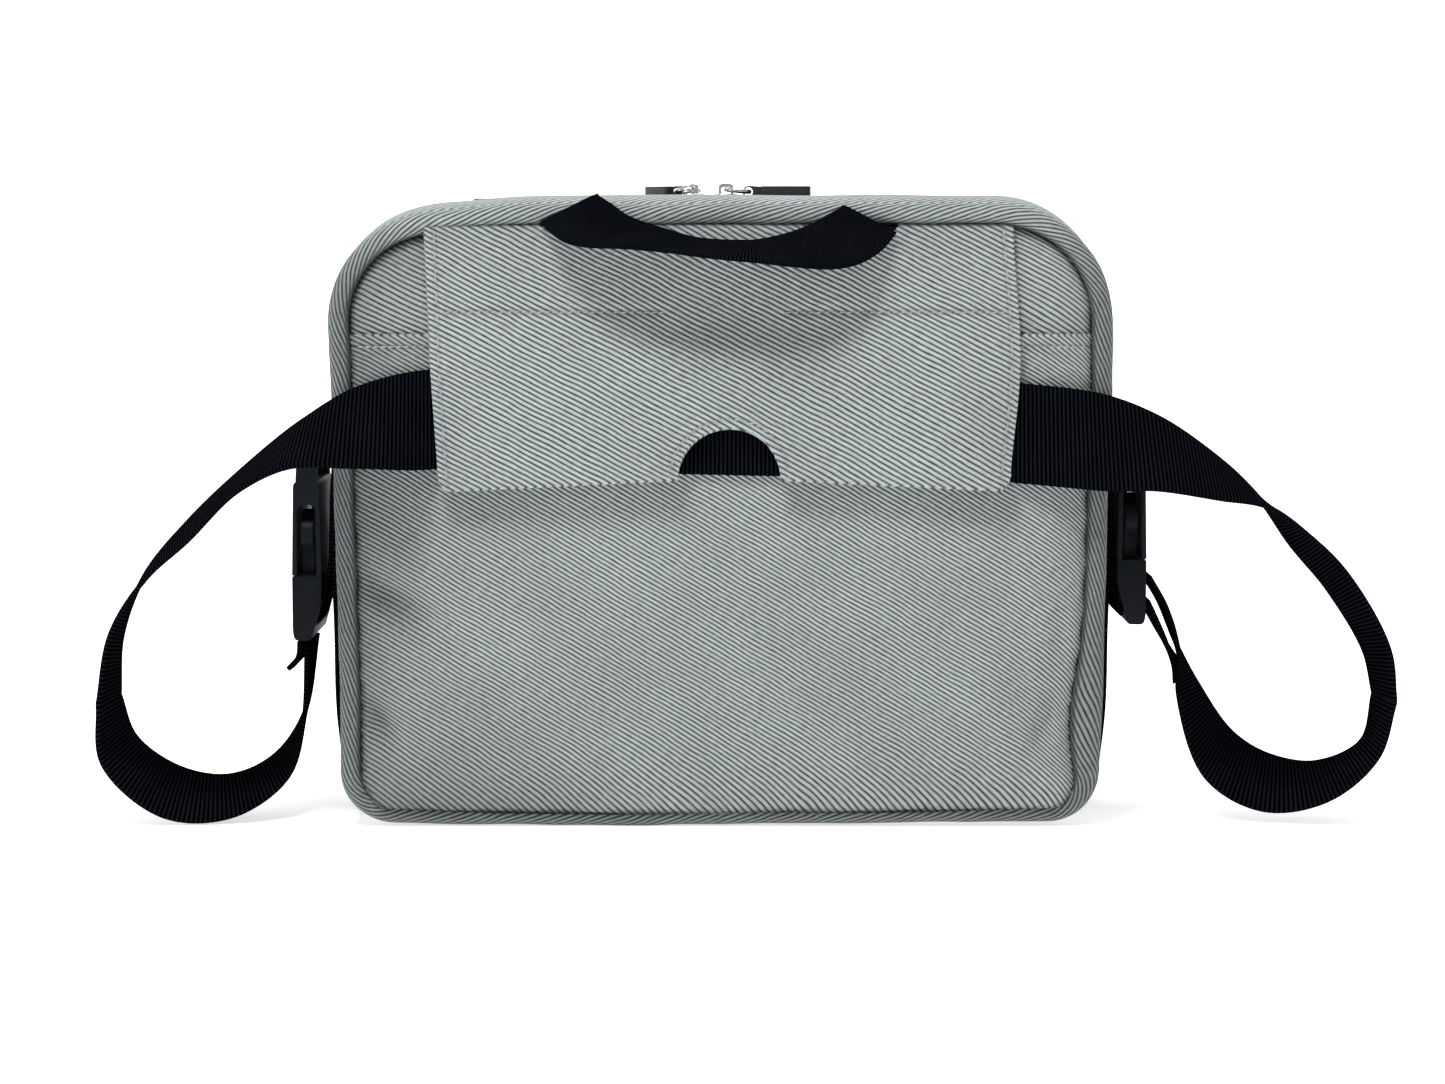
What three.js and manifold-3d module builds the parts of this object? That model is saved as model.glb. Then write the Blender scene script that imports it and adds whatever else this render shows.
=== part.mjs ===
// A small soft mail bag, stood upright: piped twill body, zip mouth, belt flap over a wide strap,
// carry handle, and a side-release buckle on each side of the strap.
// Millimetres, +Z up, +X to the right of someone facing the carry side, which faces -Y.
// The origin is on the underside, in the middle of the base.
import * as THREE from 'three';
import { mergeVertices } from 'three/addons/utils/BufferGeometryUtils.js';
import Module from 'manifold-3d';

const wasm = await Module();
wasm.setup();

// ---- driving dimensions ----
const gap = 0.3; // between pieces that touch
const body = { halfTop: 150, halfBottom: 145.5, top: 240, radiusTop: 46, radiusBottom: 20, depth: 110 };
const pipingRadius = 4;
const pipingRise = 1.5; // the piping's lowest point above the floor
const wall = 3; // gusset and top panels
const panelThick = 2;
const panelInset = 8.7; // from the outline to the panel's edge
const pocketTop = 188.5;
const pocketThick = 1.6;
const webbing = { width: 38, thick: 2 };
const flap = { left: -111, right: 111, top: 231, hinge: 197.4, bottom: 131, thick: 1.7, corner: 5 };
const notch = { x: 2, radius: 20, top: 154 };
const mouth = { half: 105, tapeHalf: 8.7, coilHalf: 1.7 }; // the zip, along X and across it
const coilTop = 240.6;
const slider = { length: 9, width: 9, base: 240.1, top: 242.3 };
const bail = { length: 6, width: 2, rise: 4.1, openLength: 3.6, openHeight: 2.6 };
const ring = { radius: 4.6, wire: 0.8, bow: 0.35, height: 243.9, droop: 5 * Math.PI / 180 };
const pull = { length: 21, width: 9, thick: 4, neck: 5, eye: 1.5 };
const handle = { width: 25, axisY: -60.5, axisZ: 238.5 };
const buckle = {
  width: 50, thick: 11.4, plate: 2.3, base: 25.3, window: 28, head: 9, slot: 6.4, bar: 5, opening: 40,
};
const buckles = [
  { side: 'left', sign: -1, x: -161.7, mouth: 93.6, tabTop: 153 },
  { side: 'right', sign: 1, x: 160.3, mouth: 100, tabTop: 156.5 },
];
const prong = { half: 4, length: 21 };
const lockSlots = { first: 5, second: 12, height: 3 }; // up from the plug's heel
// A spring arm's outline: out from the buckle's middle, and up from the plug's mouth end.
const armOutline = [[13, 0.3], [18, 0.3], [18, 8], [23.5, 14], [22.5, 20], [15, 25.5], [13, 25.5]];
const band = { thick: 1.6, inward: 134, low: 2, top: 155 };
const board = { halfLength: 120, halfWidth: 42, thick: 2 };

// ---- materials ----
const finish = (color, roughness, metalness = 0) => () =>
  new THREE.MeshStandardMaterial({ color, roughness, metalness });
const twill = finish(0x98a19f, 0.8);
const black = finish(0x14161c, 0.75);
const plastic = finish(0x23272e, 0.45);
const steel = finish(0xc9c9c9, 0.2, 1);
const rubber = finish(0x15161a, 0.5);
const stiffener = finish(0x2b2b2b, 0.7);

const bag = new THREE.Group();

function add(name, geometry, material, parent = bag) {
  const mesh = new THREE.Mesh(geometry, material());
  mesh.name = name;
  parent.add(mesh);
  return mesh;
}

// ---- shapes ----
// A plate standing in the XZ plane, from its drawn outline (x, z) and its two Y faces.
function upright(shape, rear, front) {
  const g = new THREE.ExtrudeGeometry(shape, { depth: front - rear, bevelEnabled: false, curveSegments: 8 });
  return g.rotateX(Math.PI / 2).translate(0, front, 0);
}

// A bar along X, from its section (y, z).
function along(shape, from, to) {
  const turn = new THREE.Matrix4().makeBasis(
    new THREE.Vector3(0, 1, 0), new THREE.Vector3(0, 0, 1), new THREE.Vector3(1, 0, 0));
  const g = new THREE.ExtrudeGeometry(shape, { depth: to - from, bevelEnabled: false, curveSegments: 8 });
  return g.applyMatrix4(turn).translate(from, 0, 0);
}

function box(x0, x1, y0, y1, z0, z1) {
  return new THREE.BoxGeometry(x1 - x0, y1 - y0, z1 - z0)
    .translate((x0 + x1) / 2, (y0 + y1) / 2, (z0 + z1) / 2);
}

function polygon(points) {
  return new THREE.Shape(points.map(([a, b]) => new THREE.Vector2(a, b)));
}

// The bag's front view with round corners, drawn in by an inset; rise lifts its underside.
function outline(inset, rise = 0, top = body.top) {
  const arc = 0.5523;
  const low = inset + rise;
  const high = top - inset;
  const corners = [
    { x: -(body.halfBottom - inset), z: low, r: body.radiusBottom - inset },
    { x: body.halfBottom - inset, z: low, r: body.radiusBottom - inset },
    { x: body.halfTop - inset, z: high, r: body.radiusTop - inset },
    { x: -(body.halfTop - inset), z: high, r: body.radiusTop - inset },
  ];
  const shape = new THREE.Shape();
  corners.forEach((c, i) => {
    const before = corners[(i + 3) % 4];
    const after = corners[(i + 1) % 4];
    const here = new THREE.Vector2(c.x, c.z);
    const inward = new THREE.Vector2(before.x, before.z).sub(here).setLength(c.r);
    const onward = new THREE.Vector2(after.x, after.z).sub(here).setLength(c.r);
    const start = here.clone().add(inward);
    const end = here.clone().add(onward);
    if (i === 0) shape.moveTo(start.x, start.y);
    else shape.lineTo(start.x, start.y);
    const c1 = start.clone().addScaledVector(inward, -arc);
    const c2 = end.clone().addScaledVector(onward, -arc);
    shape.bezierCurveTo(c1.x, c1.y, c2.x, c2.y, end.x, end.y);
  });
  shape.closePath();
  return shape;
}

// A strip of webbing between two edge curves, sampled evenly and held to its true width.
function strip(farEdge, nearEdge, steps, width = webbing.width, start = 0) {
  const far = new THREE.CatmullRomCurve3(farEdge.map((p) => new THREE.Vector3(...p)), false, 'centripetal');
  const near = new THREE.CatmullRomCurve3(nearEdge.map((p) => new THREE.Vector3(...p)), false, 'centripetal');
  const middles = [];
  const across = [];
  for (let i = 0; i <= steps; i++) {
    const t = start + (1 - start) * i / steps;
    const a = far.getPoint(t);
    const b = near.getPoint(t);
    middles.push(a.clone().add(b).multiplyScalar(0.5));
    across.push(a.sub(b).setLength(width / 2));
  }
  const corners = [];
  middles.forEach((m, i) => {
    const onward = middles[Math.min(i + 1, steps)].clone().sub(middles[Math.max(i - 1, 0)]);
    const out = onward.cross(across[i]).setLength(webbing.thick / 2);
    for (const [u, v] of [[1, 1], [-1, 1], [-1, -1], [1, -1]]) {
      corners.push(m.clone().addScaledVector(across[i], u).addScaledVector(out, v));
    }
  });
  const faces = [0, 2, 1, 0, 3, 2];
  for (let i = 0; i < steps; i++) {
    for (let k = 0; k < 4; k++) {
      const [a, b] = [4 * i + k, 4 * i + (k + 1) % 4];
      faces.push(a, b, a + 4, b, b + 4, a + 4);
    }
  }
  const last = 4 * steps;
  faces.push(last, last + 1, last + 2, last, last + 2, last + 3);
  const g = new THREE.BufferGeometry().setFromPoints(corners);
  g.setIndex(faces);
  return g;
}

// ---- cutting and joining ----
function solid(geometry) {
  const bare = geometry.clone();
  bare.deleteAttribute('normal');
  bare.deleteAttribute('uv');
  const merged = mergeVertices(bare, 1e-4);
  return new wasm.Manifold(new wasm.Mesh({
    numProp: 3,
    vertProperties: Float32Array.from(merged.attributes.position.array),
    triVerts: Uint32Array.from(merged.index.array),
  }));
}

function geometryOf(shape) {
  const mesh = shape.getMesh();
  const g = new THREE.BufferGeometry();
  g.setAttribute('position', new THREE.BufferAttribute(mesh.vertProperties, 3));
  g.setIndex(new THREE.BufferAttribute(mesh.triVerts, 1));
  return g;
}

const cut = (from, ...tools) => geometryOf(tools.reduce((s, t) => s.subtract(solid(t)), solid(from)));
const keep = (from, tool) => geometryOf(solid(from).intersect(solid(tool)));
const join = (...pieces) => geometryOf(pieces.map(solid).reduce((a, b) => a.add(b)));

// ---- body ----
const backFace = -body.depth / 2;
const pipingInner = -backFace - 2 * pipingRadius; // where the gusset's edges meet the piping
const gussetHalf = pipingInner - gap;

for (const [name, sign] of [['back_panel', -1], ['front_panel', 1]]) {
  const outer = -backFace - 1;
  const [y0, y1] = sign < 0 ? [-outer, -outer + panelThick] : [outer - panelThick, outer];
  add(name, upright(outline(panelInset, pipingRise, body.top - pipingRise), y0, y1), twill);
}

for (const [name, sign] of [['piping_rear', -1], ['piping_front', 1]]) {
  const hoop = outline(pipingRadius / 2, pipingRise, body.top - pipingRise);
  hoop.holes.push(outline(pipingRadius * 1.5, pipingRise, body.top - pipingRise));
  const g = new THREE.ExtrudeGeometry(hoop, {
    depth: pipingRadius, bevelThickness: pipingRadius / 2, bevelSize: pipingRadius / 2,
    bevelSegments: 2, curveSegments: 8,
  });
  const middle = sign * (-backFace - pipingRadius);
  add(name, g.rotateX(Math.PI / 2).translate(0, middle + pipingRadius / 2, 0), twill);
}

const tube = outline(0);
tube.holes.push(outline(wall));
const ringWall = upright(tube, -gussetHalf, gussetHalf);
add('side_gusset', cut(ringWall,
  box(-mouth.half, mouth.half, -body.depth, body.depth, body.top / 2, body.top + 10)), twill);

for (const [name, sign] of [['top_panel_rear', -1], ['top_panel_front', 1]]) {
  const inner = sign * (mouth.tapeHalf + gap);
  const [y0, y1] = [inner, sign * gussetHalf].sort((a, b) => a - b);
  const end = mouth.half - gap;
  add(name, box(-end, end, y0, y1, body.top - wall, body.top), twill);
}

add('base_board', box(-board.halfLength, board.halfLength, -board.halfWidth, board.halfWidth,
  wall + gap, wall + gap + board.thick), stiffener);

// Slip pocket on the carry side: the panel's own outline, cut off level at its mouth.
const pocketInner = backFace + 1 - gap;
const pocketOuter = pocketInner - pocketThick;
add('back_pocket', keep(
  upright(outline(panelInset + gap, pipingRise, body.top - pipingRise), pocketOuter, pocketInner),
  box(-200, 200, -100, 0, -10, pocketTop)), twill);

// ---- belt flap: a sewn yoke above its stitch line, and the free lower part that lifts ----
const yokeInner = backFace + 1 - gap;
const yokeOuter = yokeInner - flap.thick;
const flapInner = pocketOuter - webbing.thick - 4 * gap;
const flapOuter = flapInner - flap.thick;
add('belt_flap_yoke', keep(
  box(flap.left, flap.right, yokeOuter, yokeInner, flap.hinge, flap.top),
  upright(outline(panelInset, pipingRise, body.top - pipingRise), -100, 0)), twill);

const slope = flap.hinge - 19; // where the flap has come clear of the strap beneath
const flapSection = polygon([
  [yokeInner, flap.hinge - gap], [yokeOuter, flap.hinge - gap], [flapOuter, slope],
  [flapOuter, flap.bottom], [flapInner, flap.bottom], [flapInner, slope],
]);
const flapFront = new THREE.Shape();
flapFront.moveTo(flap.left, flap.hinge);
flapFront.lineTo(flap.left, flap.bottom + flap.corner);
flapFront.quadraticCurveTo(flap.left, flap.bottom, flap.left + flap.corner, flap.bottom);
flapFront.lineTo(notch.x - notch.radius, flap.bottom);
flapFront.absarc(notch.x, notch.top - notch.radius, notch.radius, Math.PI, 0, true);
flapFront.lineTo(notch.x + notch.radius, flap.bottom);
flapFront.lineTo(flap.right - flap.corner, flap.bottom);
flapFront.quadraticCurveTo(flap.right, flap.bottom, flap.right, flap.bottom + flap.corner);
flapFront.lineTo(flap.right, flap.hinge);
flapFront.closePath();
add('belt_flap', keep(along(flapSection, flap.left - 1, flap.right + 1), upright(flapFront, -100, 0)), twill);

// ---- carry handle: webbing folded over at its two ends in the top seam, sagging forward between ----
const handleUpper = [[-46.6, -58.1, 241.4], [-41, -58.6, 238.2], [-34.4, -58.9, 233.5], [-21.4, -59.1, 228.8],
  [-8.2, -59.2, 225.1], [5.9, -59.2, 224.2], [13.2, -59.2, 224.5], [24.5, -59.2, 227],
  [33.9, -59.1, 230.7], [40.5, -58.9, 234.4], [46.1, -58.5, 237.5]];
const handleLower = [[-68.1, -57.8, 231.3], [-64.8, -60.4, 227.9], [-59.5, -66, 224.2], [-51.8, -71, 222.4],
  [-35.7, -78, 221.9], [-21, -81, 220.7], [-4.4, -82, 218.5], [14.8, -81.5, 216.6],
  [28.8, -78, 214.9], [42.9, -72, 214.1], [52.4, -67, 215.9], [60.9, -61.6, 221], [66.3, -58.3, 227.3]];
const handleGroup = new THREE.Group();
handleGroup.position.set(0, handle.axisY, handle.axisZ);
bag.add(handleGroup);
add('carry_handle', strip(handleUpper, handleLower, 28, handle.width)
  .translate(0, -handle.axisY, -handle.axisZ), black, handleGroup);

// ---- zip ----
for (const [name, sign] of [['rear', -1], ['front', 1]]) {
  const tape = [sign * (mouth.coilHalf + gap), sign * mouth.tapeHalf].sort((a, b) => a - b);
  const coil = [sign * gap / 2, sign * mouth.coilHalf].sort((a, b) => a - b);
  const end = mouth.half - 8;
  add(`zip_tape_${name}`, box(-end, end, ...tape, body.top - 1.4, body.top - 0.2), black);
  add(`zip_coil_${name}`, box(-end, end, ...coil, body.top - 1.6, coilTop), black);
}
for (const [name, sign] of [['left', -1], ['right', 1]]) {
  const [x0, x1] = [sign * (mouth.half - 7.7), sign * (mouth.half - gap)].sort((a, b) => a - b);
  add(`zip_end_${name}`, box(x0, x1, -mouth.tapeHalf, mouth.tapeHalf, body.top - 2, body.top), twill);
}

// A slider with its bail, ring and pull tab. The pull lies away from the slider at an angle in plan.
function zipPull(side, x, heading) {
  const half = slider.length / 2;
  const shell = cut(
    box(-half, half, -slider.width / 2, slider.width / 2, slider.base, slider.top),
    box(-half - 1, half + 1, -mouth.coilHalf - 0.5, mouth.coilHalf + 0.5, 0, coilTop + gap));
  const arch = cut(
    box(-bail.length / 2, bail.length / 2, -bail.width / 2, bail.width / 2,
      slider.top - 0.4, slider.top + bail.rise),
    box(-bail.openLength / 2, bail.openLength / 2, -5, 5, 0, slider.top + bail.openHeight));
  const turned = new THREE.Group();
  turned.position.set(x, 0, 0);
  bag.add(turned);
  add(`zip_slider_${side}`, join(shell, arch.rotateZ(heading)), steel, turned);

  const linkGroup = new THREE.Group();
  linkGroup.position.set(0, 0, ring.height);
  linkGroup.rotation.set(0, ring.droop, heading, 'ZYX');
  turned.add(linkGroup);
  const hoop = new THREE.TorusGeometry(ring.radius, ring.wire, 8, 24).translate(ring.radius, 0, 0);
  add(`pull_ring_${side}`, hoop, steel, linkGroup);

  const tabGroup = new THREE.Group();
  tabGroup.position.set(2 * ring.radius - ring.bow, 0, 0); // the eye spans the wire's curve evenly
  tabGroup.rotation.y = -ring.droop;
  linkGroup.add(tabGroup);
  const halfThick = pull.thick / 2;
  const neck = new THREE.Shape();
  neck.absarc(0, 0, halfThick + 0.3, Math.PI / 2, 1.5 * Math.PI, false);
  neck.lineTo(7, -halfThick);
  neck.lineTo(7, halfThick);
  neck.closePath();
  const eye = new THREE.Path();
  eye.absarc(0, 0, pull.eye, 0, 2 * Math.PI, true);
  neck.holes.push(eye);
  const plate = new THREE.Shape();
  const w = pull.width / 2;
  plate.moveTo(5, -w + 2);
  plate.quadraticCurveTo(5, -w, 7, -w);
  plate.lineTo(pull.length - w, -w);
  plate.absarc(pull.length - w, 0, w, -Math.PI / 2, Math.PI / 2, false);
  plate.lineTo(7, w);
  plate.quadraticCurveTo(5, w, 5, w - 2);
  plate.closePath();
  const blade = new THREE.ExtrudeGeometry(plate, { depth: pull.thick, bevelEnabled: false, curveSegments: 8 })
    .translate(0, 0, -halfThick);
  add(`pull_tab_${side}`, join(upright(neck, -pull.neck / 2, pull.neck / 2), blade), rubber, tabGroup);
}
zipPull('left', -11, Math.PI - Math.PI / 3);
zipPull('right', 2, 0);

// ---- side bands and buckles ----
for (const b of buckles) {
  const { side, sign, x, mouth: lip } = b;
  const half = webbing.width / 2;

  // The band follows the gusset's side and curls under its bottom corner.
  const sleeve = outline(-gap - band.thick);
  sleeve.holes.push(outline(-gap));
  const reach = [sign * band.inward, sign * body.depth * 2].sort((p, q) => p - q);
  const stretch = box(...reach, -body.depth, body.depth, band.low, band.top);
  add(`side_band_${side}`, keep(upright(sleeve, -half, half), stretch), black);

  // Webbing loop round the socket's bar, its two thicknesses sewn to the band above.
  const barZ = lip + buckle.window + buckle.head + buckle.slot + buckle.bar / 2;
  const loopOuter = 5.6;
  const loopThick = 1.9;
  const stemInner = body.halfTop + 2.2; // the stem lies on the band
  const stemOuter = stemInner + 2 * loopThick;
  const loop = new THREE.Shape();
  loop.absarc(sign * x, barZ, loopOuter, Math.PI * 0.85, Math.PI * 2.15, false);
  loop.lineTo(stemOuter, b.tabTop - 2);
  loop.lineTo(stemOuter, b.tabTop);
  loop.lineTo(stemInner, b.tabTop);
  loop.lineTo(stemInner, b.tabTop - 4);
  loop.closePath();
  const bore = new THREE.Path();
  bore.absarc(sign * x, barZ, loopOuter - loopThick, 0, 2 * Math.PI, true);
  loop.holes.push(bore);
  const tab = upright(loop, -half, half);
  add(`buckle_tab_${side}`, sign > 0 ? tab : tab.rotateZ(Math.PI), black);

  // Socket: two plates with open sides, a solid head, and a bar above the webbing slot.
  const t = buckle.thick / 2;
  const w = buckle.width / 2;
  const headTop = lip + buckle.window + buckle.head;
  const socket = cut(
    box(x - t, x + t, -w, w, lip + gap, barZ + buckle.bar / 2),
    box(x - t + buckle.plate, x + t - buckle.plate, -w - 1, w + 1, lip - 1, lip + buckle.window),
    box(x - t - 1, x + t + 1, -buckle.opening / 2, buckle.opening / 2, headTop, barZ - buckle.bar / 2),
    box(x - t - 1, x - buckle.bar / 2, -buckle.opening / 2, buckle.opening / 2, headTop - 0.5, barZ + 5),
    box(x + buckle.bar / 2, x + t + 1, -buckle.opening / 2, buckle.opening / 2, headTop - 0.5, barZ + 5));
  add(`socket_${side}`, socket, plastic);

  // Plug: a ladder-lock base with two webbing slots and a middle prong.
  const heel = lip - buckle.base;
  const profile = polygon([
    [x + sign * t, heel], [x + sign * t, lip], [x - sign * t, lip],
    [x - sign * t, lip - 8], [x - sign * (t - 4.5), heel],
  ]);
  const base = upright(profile, -w, w);
  const prongThick = t - buckle.plate - 0.4;
  const slots = [heel + lockSlots.first, heel + lockSlots.second].map((z) =>
    box(x - 2 * t, x + 2 * t, -buckle.opening / 2, buckle.opening / 2, z, z + lockSlots.height));
  const tongue = box(x - prongThick, x + prongThick, -prong.half, prong.half, lip - 1, lip + prong.length);
  add(`plug_${side}`, join(cut(base, ...slots), tongue), plastic);

  // Spring arms, each with a rounded head that shows at the socket's open side.
  for (const [place, face] of [['rear', -1], ['front', 1]]) {
    const arm = polygon(armOutline.map(([y, up]) => [face * y, lip + up]));
    add(`arm_${side}_${place}`, along(arm, x - prongThick, x + prongThick), plastic);
  }
}

// ---- strap ----
// The strap's edges on each side: far is its upper edge under the flap, which turns to the back.
// Each list runs from the flap, out round the loop, to the buckle; the two pieces meet at the outermost point.
const strapEdges = {
  left: {
    upperFar: [[-113, -57.2, 176.2], [-135, -60, 170.5], [-157.5, -56, 157.5], [-181, -46, 139],
      [-205, -37, 117], [-224, -30.5, 94.5], [-234, -25, 70], [-236, -21, 47]],
    upperNear: [[-113, -57.2, 138.2], [-135, -83, 140], [-158.5, -90, 141], [-180, -83, 131.5],
      [-200.5, -74, 112], [-217.5, -68, 97], [-232, -62.5, 75.5], [-238, -59, 48]],
    lowerFar: [[-236, -21, 47], [-230, -19.5, 30], [-213.5, -18, 17.5], [-195, -14, 13.5],
      [-178.5, -4, 19.5], [-167.5, 11, 35], [-162.7, 19, 66.2]],
    lowerNear: [[-238, -59, 48], [-237, -56.5, 24], [-214.5, -53, 3.5], [-188.5, -49.5, 3],
      [-168.5, -40.5, 16], [-163.5, -26, 36], [-162.7, -19, 66.2]],
  },
  right: {
    upperFar: [[113, -57.2, 171.3], [137, -59.5, 168], [162.5, -56, 160], [188, -45.5, 143.5],
      [206.5, -37.5, 126.5], [221, -32, 106.5], [236, -27.5, 89], [251.5, -23, 64.5], [256, -21, 47.5]],
    upperNear: [[113, -57.2, 133.3], [138, -66, 131], [163.5, -81, 131.5], [187.5, -80, 128],
      [205, -75.5, 125], [221.5, -69.5, 114], [237.5, -64.5, 98.5], [254.5, -60.5, 69.5], [257.5, -59, 49]],
    lowerFar: [[256, -21, 47.5], [252, -19, 28], [234.5, -17, 19.5], [216.5, -14.5, 22],
      [203, -8, 30], [192, 8, 46], [183.5, 16, 62], [176, 18.5, 80], [168.2, 19, 92.5]],
    lowerNear: [[257.5, -59, 49], [251.5, -57, 27], [233.5, -54, 10], [209, -47.5, 5],
      [188, -40, 16.5], [178.5, -27.5, 47], [179.5, -21.5, 63], [175, -19.5, 80], [168.2, -19, 92.5]],
  },
};

// The tails left over past the ladder locks, as (x, z) from the lock down.
const tailRuns = {
  left: [[-165.6, 67], [-166, 62], [-168, 57.5], [-171.5, 54.5]],
  right: [[167.6, 83], [170.8, 76], [174.2, 67], [176.2, 57]],
};

const strapY = pocketOuter - gap - webbing.thick / 2;
const strapHalf = 111.7; // the loops start just past the middle stretch's ends
const loopBreak = 0.006; // share of the lower stretch left out, so that it clears the upper
add('strap_middle', strip(
  [[-strapHalf, strapY, 176.2], [strapHalf, strapY, 171.3]],
  [[-strapHalf, strapY, 138.2], [strapHalf, strapY, 133.3]],
  1), black);
for (const side of ['left', 'right']) {
  const e = strapEdges[side];
  add(`strap_${side}_upper`, strip(e.upperFar, e.upperNear, 28), black);
  add(`strap_${side}_lower`, strip(e.lowerFar, e.lowerNear, 24, webbing.width, loopBreak), black);
  const [farTail, nearTail] = [1, -1].map((y) => tailRuns[side].map(([x, z]) => [x, y * webbing.width / 2, z]));
  add(`strap_tail_${side}`, strip(farTail, nearTail, 6), black);
}

export default bag;
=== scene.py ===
# Looks of a small soft mail bag seen from its carry side: piped grey twill body, belt flap over a
# wide black strap, carry handle, side-release buckles and a two-way zip. Metres, +Z up, -Y to the camera.
import math

import bmesh
import bpy
import numpy as np
from mathutils import Matrix, Vector, noise


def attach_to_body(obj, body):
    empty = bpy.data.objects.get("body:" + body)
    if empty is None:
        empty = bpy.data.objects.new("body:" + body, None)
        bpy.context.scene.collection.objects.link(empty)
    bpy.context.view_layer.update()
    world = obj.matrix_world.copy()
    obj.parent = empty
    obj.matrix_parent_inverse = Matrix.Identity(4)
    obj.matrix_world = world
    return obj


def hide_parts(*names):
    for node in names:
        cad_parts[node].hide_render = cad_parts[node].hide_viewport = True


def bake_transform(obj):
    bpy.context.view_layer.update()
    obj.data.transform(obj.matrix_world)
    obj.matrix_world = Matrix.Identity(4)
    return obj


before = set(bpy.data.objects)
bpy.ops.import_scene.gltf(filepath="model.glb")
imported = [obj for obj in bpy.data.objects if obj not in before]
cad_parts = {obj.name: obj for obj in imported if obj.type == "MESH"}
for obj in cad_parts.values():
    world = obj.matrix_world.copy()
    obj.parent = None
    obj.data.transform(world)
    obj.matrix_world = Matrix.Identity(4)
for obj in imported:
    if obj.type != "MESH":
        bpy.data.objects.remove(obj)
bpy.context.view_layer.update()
MM = 0.001

# ---- driving dimensions, in millimetres, as in the part ----
HALF_TOP, HALF_BOTTOM, TOP = 150.0, 145.5, 240.0
RADIUS_TOP, RADIUS_BOTTOM = 46.0, 20.0
PIPING_RADIUS, PIPING_RISE, PIPING_Y = 4.0, 1.5, 51.0
SEAM_INSET = 7.6  # from the outline to the groove where panel and piping meet
PANEL_Y = -54.0
POCKET_Y, POCKET_TOP = -55.9, 188.5
FLAP = {"left": -111.0, "right": 111.0, "top": 231.5, "hinge": 197.4, "bottom": 131.0, "thick": 1.5}
NOTCH = {"x": 2.0, "radius": 20.0, "top": 154.0}
STRAP = {"width": 38.0, "thick": 2.0, "y": -57.2}
MOUTH = {"half": 97.0, "gap": 7.4, "tape": 8.7}
WALE_ANGLE = math.radians(28)
WALE_PITCH = 1.82
BIAS_ANGLE = math.radians(21)  # the ribs on the rolled edges, from their run
BIAS_PITCH = 1.55
RIB_PITCH = 1.6


# ---- camera ----
def add_camera():
    aim = Vector((0.6, -55, 110)) * MM
    down = math.radians(5.5)
    distance = 1.3
    data = bpy.data.cameras.new("photo_camera")
    data.lens = 85
    data.sensor_width = 36
    camera = bpy.data.objects.new("photo_camera", data)
    bpy.context.scene.collection.objects.link(camera)
    look = Vector((0, math.cos(down), -math.sin(down)))
    camera.location = aim - look * distance
    camera.rotation_euler = (math.pi / 2 - down, 0, 0)
    bpy.context.scene.camera = camera


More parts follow.
